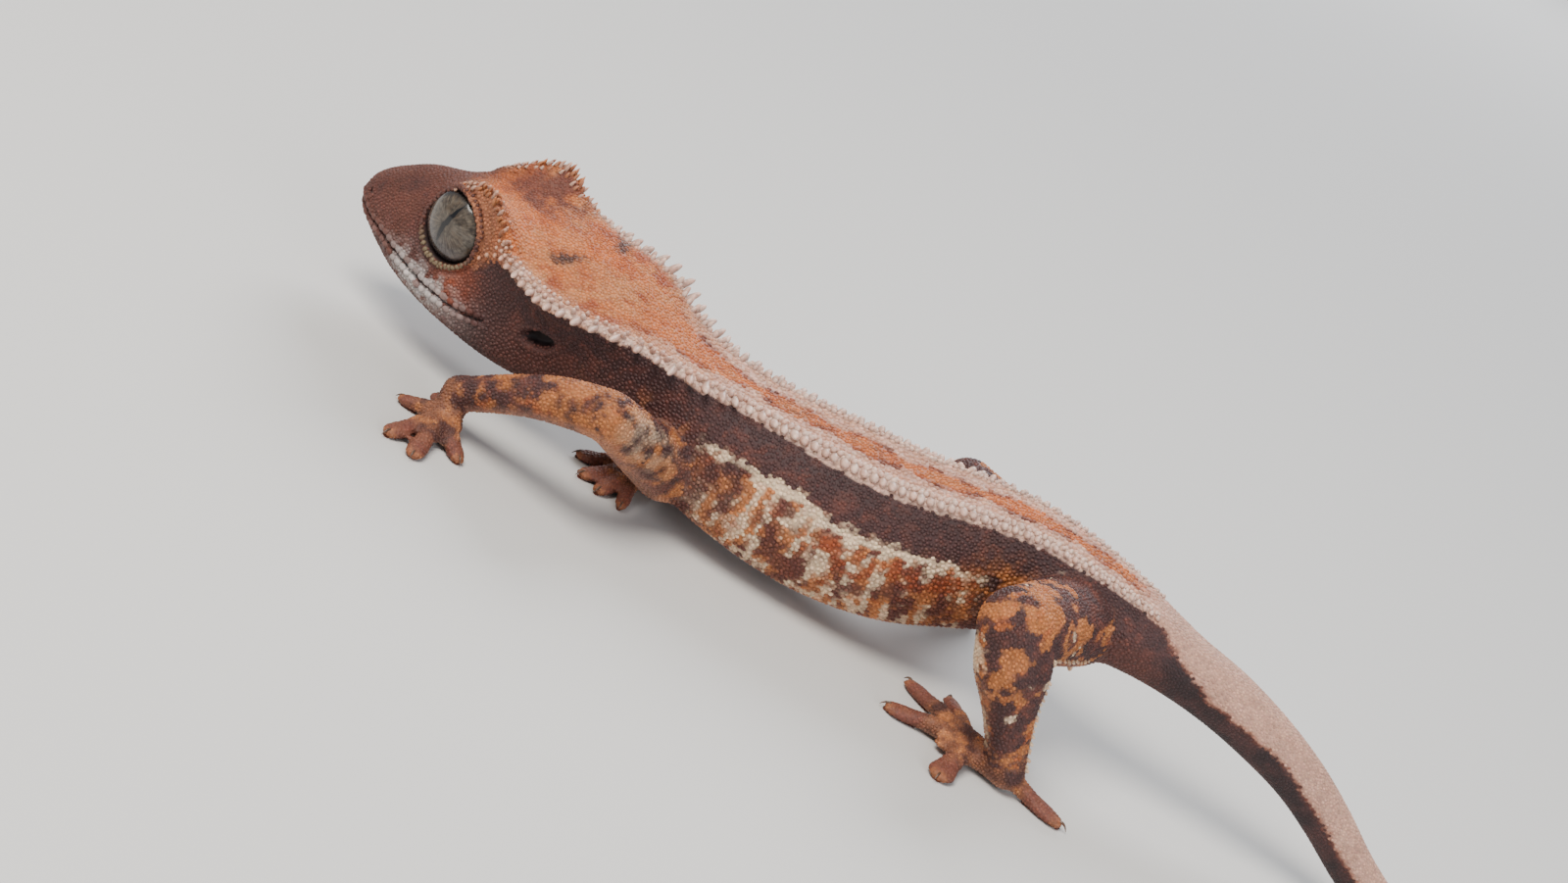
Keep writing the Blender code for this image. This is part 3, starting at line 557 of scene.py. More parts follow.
def feature_places():
    """Centres and radii of the parts of the face that need a finer mesh."""
    places = [(eye_middle(side) + eye_axes(side)[2] * 0.9, 3.1) for side in (1, -1)]
    for side in (1, -1):
        places.append((body_point(EAR_PLACE[0], side * side_reach(*EAR_PLACE), EAR_PLACE[1]), 1.9))
        places.append((body_point(NOSTRIL_PLACE[0], side * side_reach(*NOSTRIL_PLACE), NOSTRIL_PLACE[1]), 0.8))
    return places


def refine(mesh, wanted):
    """Splits the faces whose points are all wanted into four."""
    shape = bmesh.new()
    shape.from_mesh(mesh)
    shape.verts.ensure_lookup_table()
    edges = {edge for face in shape.faces if all(wanted[vert.index] for vert in face.verts)
             for edge in face.edges}
    bmesh.ops.subdivide_edges(shape, edges=list(edges), cuts=1, use_grid_fill=True)
    shape.to_mesh(mesh)
    shape.free()


def carve_face(points, normals, line):
    """Presses the mouth, ears, nostrils and eye openings into the skin, and gives the painted shade that
    darkens them.
    """
    moved = points.copy()
    # The painted shade of the mouth line, eye-opening edges, ear pits and nostrils, from 0 to 1.
    recess_shade = np.zeros(len(points))
    head = np.linalg.norm(points - body_point(9.0, 0, 0), axis=1) < 16
    index = np.nonzero(head)[0]
    away = near_line(points[index], line)
    moved[index] += normals[index] * (0.05 * bell(away, 0.36, 0.2) - 0.20 * bell(away, 0.0, 0.12))[:, None]
    recess_shade[index] += bell(away, 0.0, 0.11) * 0.8
    for side in (1, -1):
        middle, axes = eye_middle(side), eye_axes(side)
        local = (points[index] - middle) @ axes.T
        reach = np.hypot(local[:, 0] / EYE_OPENING[0], local[:, 1] / EYE_OPENING[1])
        outside = local[:, 2] > -0.3
        sink = smooth(1.02, 0.9, reach) * 1.3 * outside
        over = np.clip((local[:, 1] * 0.8 + local[:, 0] * 0.6) / 2.3, 0, 1)
        rim = (bell(reach, 1.10, 0.06) * (0.12 + 0.16 * over) - bell(reach, 1.24, 0.05) * 0.08) * outside
        rim += (bell(reach, 1.38, 0.08) * 0.10 - bell(reach, 1.53, 0.06) * 0.05) * over * outside
        moved[index] += axes[2] * -sink[:, None] + normals[index] * rim[:, None]
        recess_shade[index] += bell(reach, 0.99, 0.07) * outside
        along, height = EAR_PLACE
        centre = body_point(along, side * side_reach(along, height), height)
        _, left, up, back = (part[0] for part in frames_at(along))
        tilt = math.radians(EAR_TILT)
        length = back * math.cos(tilt) - up * math.sin(tilt)
        rise = up * math.cos(tilt) + back * math.sin(tilt)
        ear = points[index] - centre
        reach = np.sqrt((ear @ length / EAR_HALF[0]) ** 2 + (ear @ rise / EAR_HALF[1]) ** 2)
        close = np.abs(ear @ left) < 1.5
        depth = smooth(1.1, 0.55, reach) * 0.75 * close
        moved[index] += normals[index] * (bell(reach, 1.3, 0.22) * 0.09 * close - depth)[:, None]
        recess_shade[index] += smooth(1.05, 0.7, reach) * close
        hole = body_point(NOSTRIL_PLACE[0], side * side_reach(*NOSTRIL_PLACE), NOSTRIL_PLACE[1])
        reach = np.linalg.norm(points[index] - hole, axis=1) / NOSTRIL_HALF
        moved[index] += normals[index] * (bell(reach, 1.5, 0.5) * 0.07 - smooth(1.2, 0.2, reach) * 0.3)[:, None]
        recess_shade[index] += smooth(1.1, 0.5, reach)
    return moved, np.clip(recess_shade, 0, 1)


def make_skin():
    """The skin as one mesh in millimetres, with notes and the painted shade of its recesses at each of its
    points.
    """
    shapes = Shapes()
    add_body(shapes)
    for i, name in enumerate(LIMBS):
        add_limb(shapes, name, FIRST_LIMB + i)
    for i, (name, limb) in enumerate(zip(FEET, LIMBS)):
        add_foot(shapes, name, limb, FIRST_FOOT + i)
    bmesh.ops.recalc_face_normals(shapes.mesh, faces=shapes.mesh.faces)
    mesh = bpy.data.meshes.new("skin_parts")
    shapes.mesh.to_mesh(mesh)
    item = bpy.data.objects.new("skin_parts", mesh)
    bpy.context.scene.collection.objects.link(item)
    remesh = item.modifiers.new("one_skin", "REMESH")
    remesh.mode = "VOXEL"
    remesh.voxel_size = VOXEL
    mesh = evaluated(item)
    notes = nearest_notes(points_of(mesh), shapes)
    points = points_of(mesh)
    edges = edges_of(mesh)
    softly = relax(points, edges, 7, 0.55)
    firm = relax(points, edges, 3, 0.5)
    foot = smooth(FIRST_FOOT - 0.6, FIRST_FOOT - 0.4, notes[:, 0])[:, None]
    foot = relax(foot, edges, 4, 0.5)
    points = softly + (firm - softly) * foot
    set_points(mesh, points)
    line = mouth_path()
    points = points_of(mesh)
    wanted = np.zeros(len(points), bool)
    for place, reach in feature_places():
        wanted |= np.linalg.norm(points - place, axis=1) < reach
    head = np.nonzero(np.linalg.norm(points - body_point(8.0, 0, 0), axis=1) < 12)[0]
    wanted[head[near_line(points[head], line) < 0.7]] = True
    refine(mesh, wanted)
    points, recess_shade = carve_face(points_of(mesh), normals_of(mesh), line)
    points[:, 2] = np.maximum(points[:, 2], 0.0)
    set_points(mesh, points)
    notes = nearest_notes(points, shapes)
    edges = edges_of(mesh)
    notes[:, 3:] = unit(relax(notes[:, 3:], edges, 12, 0.6))
    return mesh, notes, recess_shade


# Markings


def crest_turn(along):
    """Where the row of crest scales runs: from the eye's rear corner up to the edge of the head and back."""
    return np.interp(along, (10.6, 11.6, 12.6, 13.8, 15.5), (3.55, 3.1, 2.55, 2.2, 2.02))


def streaks(along, band, size, seed):
    """Noise in short upright streaks on the sides."""
    return grain(np.stack((along, band * 0.9, along * 0.13), axis=1), size, seed)


def head_marks(along, band, left, points):
    """The colour of the top and the face of the head."""
    wide = clouds(points, 2.6, 1)
    fine = clouds(points, 0.9, 4)
    speck = grain(points, 0.42, 9)
    top = mix(HUE["tan"], HUE["orange"], smooth(-0.6, 0.5, wide + fine * 0.5))
    top = mix(top, HUE["rust"], 0.5 * smooth(0.05, 0.7, fine + speck * 0.5))
    ridge = smooth(6.4, 7.6, along) * smooth(12.6, 11.2, along) * smooth(0.9, 2.0, band)
    lines = smooth(0.1, 0.9, np.sin(band * 16 + wide * 3 + along * 1.5))
    top = mix(top, mix(HUE["brow"], HUE["snout"], 0.45 * lines), 0.8 * ridge * (left | (band > 2.1)))
    top = mix(top, HUE["snout"], smooth(8.6, 5.6, along + wide * 0.8 - 0.35 * band))
    near_crest = bell(band + fine * 0.3, 1.45, 0.24) * smooth(13.0, 15.5, along) * smooth(21.5, 20, along)
    top = mix(top, HUE["rust"], 0.85 * near_crest * smooth(-0.3, 0.2, fine))
    cluster = bell(along, 19.6, 1.5) * smooth(1.9, 1.2, band)
    top = mix(top, HUE["rust"], 0.8 * cluster * smooth(0.0, 0.3, fine + 0.4 * speck))
    inner = bell(along + 0.7 * wide, 10.9, 2.5) * bell(band, 1.0, 1.05) * ~left
    top = mix(top, HUE["maroon"], np.clip(1.35 * inner * smooth(-0.7, 0.2, fine), 0, 0.92))
    dash = bell(along + (band - 0.33) * 1.5 + fine * 0.4, 15.8, 0.40) * smooth(1.05, 0.8, band) * left
    dash *= smooth(0.12, 0.2, band)
    other = bell(along + (band - 1.15) * 0.9 + fine * 0.4, 16.5, 0.46) * smooth(0.75, 0.9, band)
    dash += other * smooth(1.7, 1.5, band) * ~left
    top = mix(top, HUE["ink"], 0.92 * np.clip(dash, 0, 1))
    face = mix(HUE["snout"], HUE["maroon"], smooth(-0.3, 0.5, fine))
    face = mix(face, HUE["dark"], 0.6 * smooth(-0.1, 0.6, wide + speck * 0.3))
    face = mix(face, HUE["ink"], 0.5 * bell(along, 1.2, 1.6) * smooth(-0.4, 0.4, wide))
    face = mix(face, HUE["dark"], 0.9 * smooth(9.0, 12.5, along + 0.6 * wide))
    face = mix(face, HUE["rust"], 0.65 * bell(along, 9.9, 1.5) * bell(band, 4.15, 0.45))
    blotch = bell(along + 0.6 * fine, 7.6, 3.0) * bell(band + 0.12 * fine, 4.72, 0.36)
    face = mix(face, HUE["lip"], np.clip(1.25 * blotch, 0, 1) * smooth(-0.45, 0.05, fine + speck * 0.7))
    return top, mix(face, HUE["belly"], 0.5 * smooth(5.5, 6.6, band))


def back_marks(along, band, points):
    """The back: pale granular edges and an orange middle with wavy dark borders."""
    wide = clouds(points, 2.6, 1)
    fine = clouds(points, 0.9, 4)
    speck = grain(points, 0.42, 9)
    neck = smooth(27, 21, along)
    centre = 0.50 + 0.55 * neck + 0.15 * np.sin(along * 1.05) + 0.10 * fine
    back = mix(HUE["pink"], HUE["bead"], smooth(-0.3, 0.6, speck) * 0.45)
    back = mix(back, HUE["tan"], 0.45 * neck + 0.12)
    middle = mix(HUE["orange"], HUE["tan"], smooth(-0.4, 0.5, wide + speck * 0.5) * 0.5)
    middle = mix(middle, HUE["rust"], 0.65 * smooth(0.05, 0.6, fine + 0.3 * speck))
    back = mix(back, middle, smooth(centre + 0.1, centre - 0.1, band))
    line = bell(band, centre, 0.15) * smooth(-0.6, 0.1, fine + 0.5 * np.sin(along * 2.1 + 1.0))
    back = mix(back, HUE["rust"], 0.9 * line)
    back = mix(back, HUE["ink"], 0.65 * line * smooth(-0.1, 0.4, fine))
    inner = bell(band, 0.22, 0.12) * smooth(0.0, 0.4, clouds(points, 1.3, 71))
    return mix(back, HUE["ink"], 0.55 * inner * smooth(28, 31, along))


def flank_marks(along, band, points):
    """The lower side: a jagged pale line over streaks of cream, rust and brown."""
    fine = clouds(points, 0.9, 4)
    speck = grain(points, 0.42, 9)
    thin = streaks(along, band, 0.42, 81)
    broad = streaks(along, band, 0.85, 85)
    jag = np.interp(along, (27.0, 29.4, 31.8, 34.2, 37.4, 41.4, 46.2, 48),
                    (3.5, 3.35, 3.22, 3.05, 3.2, 3.2, 3.3, 3.5))
    jag = jag + 0.05 * np.sin(along * 3.4) + 0.08 * fine
    hide = mix(HUE["maroon"], HUE["tan"], smooth(-0.45, 0.35, broad + 0.5 * speck))
    hide = mix(hide, HUE["cream"], 0.9 * smooth(-0.05, 0.35, thin + 0.4 * speck))
    hide = mix(hide, HUE["rust"], 0.85 * smooth(0.1, 0.35, clouds(points, 1.15, 21)) * smooth(5.0, 4.2, band))
    hide = mix(hide, HUE["maroon"], 0.85 * smooth(0.12, 0.4, clouds(points, 1.2, 31)))
    under = bell(band, jag + 0.62, 0.22) * smooth(0.0, 0.3, -thin) * smooth(36, 39, along)
    hide = mix(hide, HUE["rust"], 0.9 * np.clip(under, 0, 1))
    hide = mix(hide, HUE["belly"], 0.85 * smooth(4.9, 6.0, band))
    low_edge = jag + 0.24 + 0.34 * np.clip(thin, 0, 1)
    pale = smooth(jag - 0.05, jag + 0.03, band) * smooth(low_edge + 0.05, low_edge - 0.05, band)
    hide = mix(hide, HUE["cream"], pale)
    inside = smooth(28.0, 33.0, along + fine * 2 + 1.6 * broad) * smooth(48.2, 46.8, along + fine)
    line = pale * smooth(27.4, 28.6, along) * smooth(47.6, 46.8, along) * smooth(-0.5, 0.1, speck + fine + 0.25)
    inside = np.maximum(inside, line)
    return hide, inside * smooth(jag - 0.06, jag + 0.05, band)


def body_marks(along, turn, points):
    """The colour of the hide on head, trunk and tail."""
    band = band_of(turn)
    fine = clouds(points, 0.9, 4)
    speck = grain(points, 0.42, 9)
    wide = clouds(points, 2.6, 1)
    top, face = head_marks(along, band, turn <= BELLY_TURN, points)
    upper = mix(top, back_marks(along, band, points), smooth(19.5, 23.5, along + wide * 1.5 + (band - 1) * 1.5))
    row = crest_turn(along)
    crest = bell(band, row - 0.1, 0.3) * smooth(11.5, 14.0, along)
    upper = mix(upper, HUE["bead"], np.clip(crest, 0, 1) * smooth(59.5, 57, along))
    side = mix(HUE["dark"], HUE["maroon"], 0.75 * smooth(-0.2, 0.8, speck + 0.6 * fine))
    side = mix(side, HUE["ink"], 0.4 * bell(band, 2.45, 0.3) * smooth(60, 56, along))
    side = mix(side, HUE["maroon"], 0.6 * smooth(3.4, 4.6, band + 0.3 * wide))
    shoulder = smooth(0.35, 0.7, streaks(along, band, 0.5, 91)) * bell(along, 26, 4) * smooth(3.2, 4.0, band)
    side = mix(side, HUE["tan"], 0.35 * shoulder)
    flank, inside = flank_marks(along, band, points)
    side = mix(side, flank, inside)
    hip = bell(along, 49.3, 2.2) * bell(band + 0.5 * fine, 3.7, 0.55)
    side = mix(side, HUE["gold"], np.clip(1.2 * hip, 0, 0.85) * smooth(-0.3, 0.2, fine + 0.5 * speck))
    under = smooth(5.2, 6.2, band + 0.2 * wide) * smooth(20, 26, along) * smooth(60, 56, along)
    side = mix(side, HUE["belly"], 0.8 * under)
    side = mix(face, side, smooth(12.5, 16.0, along))
    border = np.interp(along, (0, 5.2, 6.8, 10.2), (1.3, 1.5, 3.3, 3.75)) + 0.05 * fine
    border = np.where(along > 10.2, row + 0.2 + 0.05 * fine, border)
    hide = mix(upper, side, smooth(border - 0.1, border + 0.1, band))
    tail_edge = np.interp(along, (57.0, 60.2, 64.6, 71.4, 74.0, 106), (1.7, 2.5, 3.95, 3.7, 4.0, 4.0))
    tail_edge = tail_edge + 0.16 * fine
    tail_top = mix(HUE["tail"], HUE["pink"], 0.3 * smooth(-0.5, 0.5, speck))
    tail_top = mix(tail_top, HUE["belly"], 0.25 * smooth(0.1, 0.8, wide))
    tail_low = mix(HUE["ink"], HUE["dark"], smooth(-0.4, 0.5, fine))
    tail = mix(tail_top, tail_low, smooth(tail_edge - 0.1, tail_edge + 0.14, band))
    tail = mix(tail, HUE["rust"], 0.35 * bell(band, tail_edge, 0.16))
    return mix(hide, tail, smooth(57.6, 60.6, along - 0.8 * (band - 2) + 0.5 * fine))


def limb_marks(region, along, points, normals):
    """The colour of the hide on the limbs and feet."""
    fine = clouds(points, 0.7, 47)
    speck = grain(points, 0.36, 53)
    arm = np.isin(region, (FIRST_LIMB, FIRST_LIMB + 1, FIRST_FOOT, FIRST_FOOT + 1))
    hide = mix(HUE["dark"], HUE["maroon"], smooth(-0.3, 0.5, fine + speck * 0.5))
    warm = mix(HUE["gold"], HUE["tan"], smooth(-0.3, 0.5, fine + 0.6 * speck) * 0.7)
    warm = mix(warm, HUE["rust"], 0.6 * smooth(0.1, 0.5, clouds(points, 0.8, 67)))
    on_leg = (clouds(points, 1.35, 63) + 0.35 * fine + 0.16 * bell(along, 0.40, 0.16)
              + 0.08 * bell(along, 0.9, 0.12))
    leg_blotch = smooth(0.19, 0.36, on_leg)
    on_arm = clouds(points, 1.0, 43) + 0.5 * fine + 0.35 * bell(along, 0.52, 0.14)
    arm_blotch = smooth(-0.12, 0.42, on_arm) * 0.92
    hide = mix(hide, warm, np.where(arm, arm_blotch, leg_blotch))
    rim = bell(on_leg, 0.12, 0.03) * ~arm
    hide = mix(hide, HUE["ink"], 0.35 * rim)
    hide = mix(hide, HUE["cream"], 0.9 * smooth(0.44, 0.52, clouds(points, 1.25, 61)) * ~arm)
    front = smooth(0.62, 0.88, -normals[:, 0] + 0.25 * speck)
    front = front * smooth(0.5, 0.56, along) * smooth(1.0, 0.93, along)
    hide = mix(hide, HUE["cream"], 0.92 * front * ~arm * (region < FIRST_FOOT))
    rear = smooth(0.35, 0.8, normals[:, 0]) * bell(along, 0.36, 0.16) * arm * smooth(-0.5, 0.2, fine)
    hide = mix(hide, HUE["cream"], 0.45 * rear)
    below = smooth(-0.35, -0.85, normals[:, 2])
    hide = mix(hide, HUE["belly"], 0.6 * below * (region < FIRST_FOOT))
    foot = mix(HUE["foot"], HUE["tan"], 0.8 * smooth(-0.2, 0.6, fine + 0.6 * speck))
    foot = mix(foot, HUE["dark"], 0.85 * smooth(-0.05, 0.3, clouds(points, 1.1, 57)))
    ankle = bell(along, 0.06, 0.07) * (region >= FIRST_FOOT)
    foot = mix(foot, HUE["dark"], 0.6 * ankle)
    pad = smooth(0.60, 0.74, along)
    foot = mix(foot, mix(HUE["pad"], HUE["foot"], 0.6 * smooth(-0.2, 0.6, fine)), pad)
    foot = mix(foot, HUE["tan"], 0.4 * smooth(0.94, 1.0, along))
    foot = mix(foot, HUE["belly"], 0.7 * below * (1 - pad))
    return mix(hide, foot, (region >= FIRST_FOOT) * 1.0)


def marks(notes, points, normals, edges=None):
    """The colour of every point, evened over the edges of the mesh where a limb leaves the body."""
    body = body_marks(notes[:, 1], notes[:, 2], points)
    limbs = limb_marks(notes[:, 0], notes[:, 1], points, normals)
    share = (notes[:, 0] > 0).astype(float)[:, None]
    if edges is not None:
        share = relax(share, edges, 6, 0.5)
    return body + (limbs - body) * share


def bake_place(notes):
    """Each point's place on an unwrap of the skin: the body above, and a strip for each limb and foot."""
    turn = notes[:, 2] / CORNERS
    region = notes[:, 0]
    u = np.where(region == BODY, notes[:, 1] / BODY_END, ((region - 1) % 4 + notes[:, 1] * 0.96) / 4)
    v = np.where(region < FIRST_FOOT, 0.02 + 0.17 * turn, 0.22 + 0.17 * turn)
    v = np.where(region == BODY, 0.42 + 0.56 * turn, v)
    return np.stack((0.01 + u * 0.98, v), axis=1)


# Finished meshes


def finish_piece(name, mesh, material, replaced=()):
    """Turns a mesh from millimetres into a piece of the scene that rides on the one body."""
    mesh.transform(Matrix.Scale(MM, 4))
    mesh.materials.clear()
    mesh.materials.append(material)
    mesh.shade_smooth()
    piece = bpy.data.objects.new(name, mesh)
    bpy.context.scene.collection.objects.link(piece)
    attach(piece, "root")
    if replaced:
        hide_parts(*replaced)
    return piece


def tint_mesh(mesh, colours):
    attribute = mesh.color_attributes.new("tint", "FLOAT_COLOR", "POINT")
    full = np.ones((len(colours), 4), np.float32)
    full[:, :3] = colours
    attribute.data.foreach_set("color", full.ravel())


def dome(sides, profile):
    """A cap of rings over the origin: its points (along, across, out) and faces.

    Each row of the profile holds a radius, a height and a lean.
    """
    points = []
    faces = []
    for radius, height, lean in profile[:-1]:
        for k in range(sides):
            angle = 2 * math.pi * k / sides
            points.append((radius * math.cos(angle) + lean, radius * math.sin(angle), height))
    points.append((profile[-1][2], 0.0, profile[-1][1]))
    rings = len(profile) - 1
    for i in range(rings - 1):
        for k in range(sides):
            j = (k + 1) % sides
            faces.append((i * sides + k, i * sides + j, (i + 1) * sides + j, (i + 1) * sides + k))
    for k in range(sides):
        faces.append(((rings - 1) * sides + k, (rings - 1) * sides + (k + 1) % sides, rings * sides))
    return np.array(points), faces


def ring_painted_shading(shades, sides):
    """Painted shading for a dome's points, one value per ring and tip: painted shade low, painted highlight on
    top.
    """
    return np.repeat(shades, [sides] * (len(shades) - 1) + [1])


def many(name, template, roots, axes, sizes, tints, places, shade, material):
    """One mesh of many copies of a small form. Axes are rows (along, across, out) for each root."""
    form, faces = template
    count, size = len(roots), len(form)
    points = roots[:, None] + np.einsum("nki,nij->nkj", form[None] * sizes[:, None], axes)
    points[..., 2] = np.maximum(points[..., 2], LOWEST_SCALE)
    mesh = bpy.data.meshes.new(name)
    mesh.vertices.add(count * size)
    mesh.vertices.foreach_set("co", points.astype(np.float32).ravel())
    corners = np.concatenate([np.array(face) for face in faces])
    lengths = np.array([len(face) for face in faces])
    loops = (corners[None] + (np.arange(count) * size)[:, None]).ravel()
    mesh.loops.add(len(loops))
    mesh.loops.foreach_set("vertex_index", loops.astype(np.int32))
    starts = np.concatenate(([0], np.cumsum(np.tile(lengths, count))[:-1]))
    mesh.polygons.add(len(faces) * count)
    mesh.polygons.foreach_set("loop_start", starts.astype(np.int32))
    mesh.update(calc_edges=True)
    layer = mesh.uv_layers.new(name="OFBake")
    spread = np.abs(form[:, :2]).max()
    patch = places[:, None] + form[None, :, :2] / spread * SCALE_ON_UNWRAP
    layer.uv.foreach_set("vector", patch.reshape(-1, 2)[loops].astype(np.float32).ravel())
    # Each tint is multiplied by its ring's painted shading: painted shade at the base, painted highlight at the
    # tip.
    tint_mesh(mesh, (tints[:, None] * shade[None, :, None]).reshape(-1, 3))
    return finish_piece(name, mesh, material)


def columns(rows):
    """An array for each column of the rows."""
    return [np.array([row[k] for row in rows]) for k in range(len(rows[0]))]


def stand(flow, normal):
    """Rows along, across and out for forms that lie along the flow."""
    across = unit(np.cross(normal, flow))
    return np.stack((np.cross(across, normal), across, normal), axis=1)


# Materials


class Sum:
    """A number in a shader: a node's output, with sums and products that make the nodes for them."""

    def __init__(self, tree, socket):
        self.tree, self.socket = tree, socket

    def maths(self, operation, *others, first=None):
        node = self.tree.nodes.new("ShaderNodeMath")
        node.operation = operation
        items = ([first] if first is not None else [self]) + list(others)
        for i, item in enumerate(items):
            plug(self.tree, node.inputs[i], item)
        return Sum(self.tree, node.outputs[0])

    def __add__(self, other):
        return self.maths("ADD", other)

    __radd__ = __add__

    def __sub__(self, other):
        return self.maths("SUBTRACT", other)

    def __rsub__(self, other):
        return self.maths("SUBTRACT", self, first=other)

    def __mul__(self, other):
        return self.maths("MULTIPLY", other)

    __rmul__ = __mul__

    def __pow__(self, other):
        return self.maths("POWER", other)

    def ramp(self, low, high):
        return node(self.tree, "MapRange", {"interpolation_type": "SMOOTHSTEP"}, Value=self, From_Min=low,
                    From_Max=high)


def plug(tree, socket, value):
    if isinstance(value, Sum):
        tree.links.new(value.socket, socket)
    elif isinstance(value, bpy.types.NodeSocket):
        tree.links.new(value, socket)
    else:
        socket.default_value = value


def node(tree, kind, settings=None, output=0, **values):
    """Makes a node: its kind, its settings, then its sockets by name with _ for a space."""
    made = tree.nodes.new("ShaderNode" + kind)
    for key, value in (settings or {}).items():
        setattr(made, key, value)
    for key, value in values.items():
        plug(tree, made.inputs[key.replace("_", " ")], value)
    return Sum(tree, made.outputs[output])


def mix_colour(tree, share, a, b, blend="MIX"):
    made = tree.nodes.new("ShaderNodeMix")
    made.data_type = "RGBA"
    made.blend_type = blend
    plug(tree, made.inputs[0], share)
    plug(tree, made.inputs[6], a)
    plug(tree, made.inputs[7], b)
    return Sum(tree, made.outputs[2])


def new_material(name):
    material = bpy.data.materials.new(name)
    material.use_nodes = True
    tree = material.node_tree
    return material, tree, tree.nodes["Principled BSDF"]


def hide_material(name, roughness, spot, depth, gap_shade=1.0, soft=0.06):
    """Hide or scale: its own tint, mottled finely, with grain in its roughness and relief."""
    material, tree, shader = new_material(name)
    tint = node(tree, "VertexColor", {"layer_name": "tint"})
    place = node(tree, "TexCoord", output=3)
    fleck = node(tree, "TexNoise", Vector=place, Scale=spot, Detail=4.0, Roughness=0.6)
    broad = node(tree, "TexNoise", Vector=place, Scale=spot * 0.13, Detail=3.0, Roughness=0.55)
    # A factor below 1 darkens the whole colour: on the skin it is painted shade for the gaps between the
    # scales.
    pale = mix_colour(tree, 1.0, tint, (1.16 * gap_shade, 1.13 * gap_shade, 1.10 * gap_shade, 1), "MULTIPLY")
    deep = mix_colour(tree, 1.0, tint, (0.66 * gap_shade, 0.62 * gap_shade, 0.62 * gap_shade, 1), "MULTIPLY")
    colour = mix_colour(tree, fleck.ramp(0.3, 0.7) * 0.7 + broad.ramp(0.3, 0.7) * 0.3, deep, pale)
    plug(tree, shader.inputs["Base Color"], colour)
    plug(tree, shader.inputs["Roughness"], roughness + (fleck - 0.5) * 0.25)
    relief = tree.nodes.new("ShaderNodeBump")
    relief.inputs["Strength"].default_value = 0.5
    relief.inputs["Distance"].default_value = depth
    plug(tree, relief.inputs["Height"], fleck)
    plug(tree, shader.inputs["Normal"], relief.outputs[0])
    shader.inputs["Subsurface Weight"].default_value = soft
    shader.inputs["Subsurface Radius"].default_value = (1.0, 0.4, 0.25)
    shader.inputs["Subsurface Scale"].default_value = 0.0006
    shader.inputs["Specular IOR Level"].default_value = 0.4
    return material


def opaque(*colour):
    return (*linear(colour), 1)


def eye_material():
    """The eye: veined iris, a wavy slit pupil and a wet clear cover, placed in the eye's own directions."""
    material, tree, shader = new_material("eye")
    place = node(tree, "Attribute", {"attribute_name": "gaze"}, output=1)
    parts = tree.nodes.new("ShaderNodeSeparateXYZ")
    plug(tree, parts.inputs[0], place)
    first, second = Sum(tree, parts.outputs[0]), Sum(tree, parts.outputs[1])
    along = first * math.cos(PUPIL_TURN) + second * math.sin(PUPIL_TURN)
    rise = second * math.cos(PUPIL_TURN) - first * math.sin(PUPIL_TURN) - 0.10
    reach = (first * first + second * second) ** 0.5
    angle = rise.maths("ARCTAN2", along)
    wobble = node(tree, "TexNoise", {"noise_dimensions": "1D"}, W=rise * 5.0, Scale=1.0, Detail=3.0)
    centre = along - 0.12 * rise * rise + 0.04 - (wobble - 0.5) * 0.10
    open_by = (1.0 - (rise * 1.7) * (rise * 1.7)).maths("MAXIMUM", 0.0) * 0.060 + 0.012
    pupil = (centre.maths("ABSOLUTE") - open_by).ramp(0.016, -0.008)
    spin = tree.nodes.new("ShaderNodeCombineXYZ")
    plug(tree, spin.inputs[0], angle * 5.0)
    plug(tree, spin.inputs[1], reach * 1.4)
    vein = node(tree, "TexNoise", Vector=spin.outputs[0], Scale=2.4, Detail=6.0, Roughness=0.68)
    fine = node(tree, "TexNoise", Vector=place, Scale=9.0, Detail=4.0)
    bands = node(tree, "TexNoise", Vector=place, Scale=2.6, Detail=3.0, Distortion=1.5)
    iris = mix_colour(tree, fine.ramp(0.3, 0.7), opaque(58, 51, 43), opaque(92, 83, 72))
    iris = mix_colour(tree, bands.ramp(0.42, 0.62) * 0.5, iris, opaque(88, 72, 56))
    iris = mix_colour(tree, rise.ramp(-0.1, -0.9) * 0.45, iris, opaque(98, 92, 102))
    iris = mix_colour(tree, vein.ramp(0.46, 0.66) * 0.8, iris, opaque(34, 26, 22))
    iris = mix_colour(tree, vein.ramp(0.44, 0.30) * 0.55, iris, opaque(136, 120, 98))
    iris = mix_colour(tree, centre.maths("ABSOLUTE").ramp(0.16, 0.02) * 0.5, iris, opaque(36, 29, 25))
    iris = mix_colour(tree, reach.ramp(0.76, 0.90), iris, opaque(18, 13, 12))
    low = (rise + first * 0.25).ramp(-0.55, -0.78)
    iris = mix_colour(tree, low * 0.85, iris, opaque(24, 18, 17))
    colour = mix_colour(tree, pupil, iris, (0.004, 0.004, 0.005, 1))
    plug(tree, shader.inputs["Base Color"], colour)
    shader.inputs["Roughness"].default_value = 0.25
    shader.inputs["Specular IOR Level"].default_value = 0.25
    shader.inputs["Coat Weight"].default_value = 0.55
    shader.inputs["Coat Roughness"].default_value = 0.04
    relief = tree.nodes.new("ShaderNodeBump")
    relief.inputs["Strength"].default_value = 0.2
    relief.inputs["Distance"].default_value = 0.00005
    plug(tree, relief.inputs["Height"], vein)
    plug(tree, shader.inputs["Normal"], relief.outputs[0])
    return material


# The coat of scales


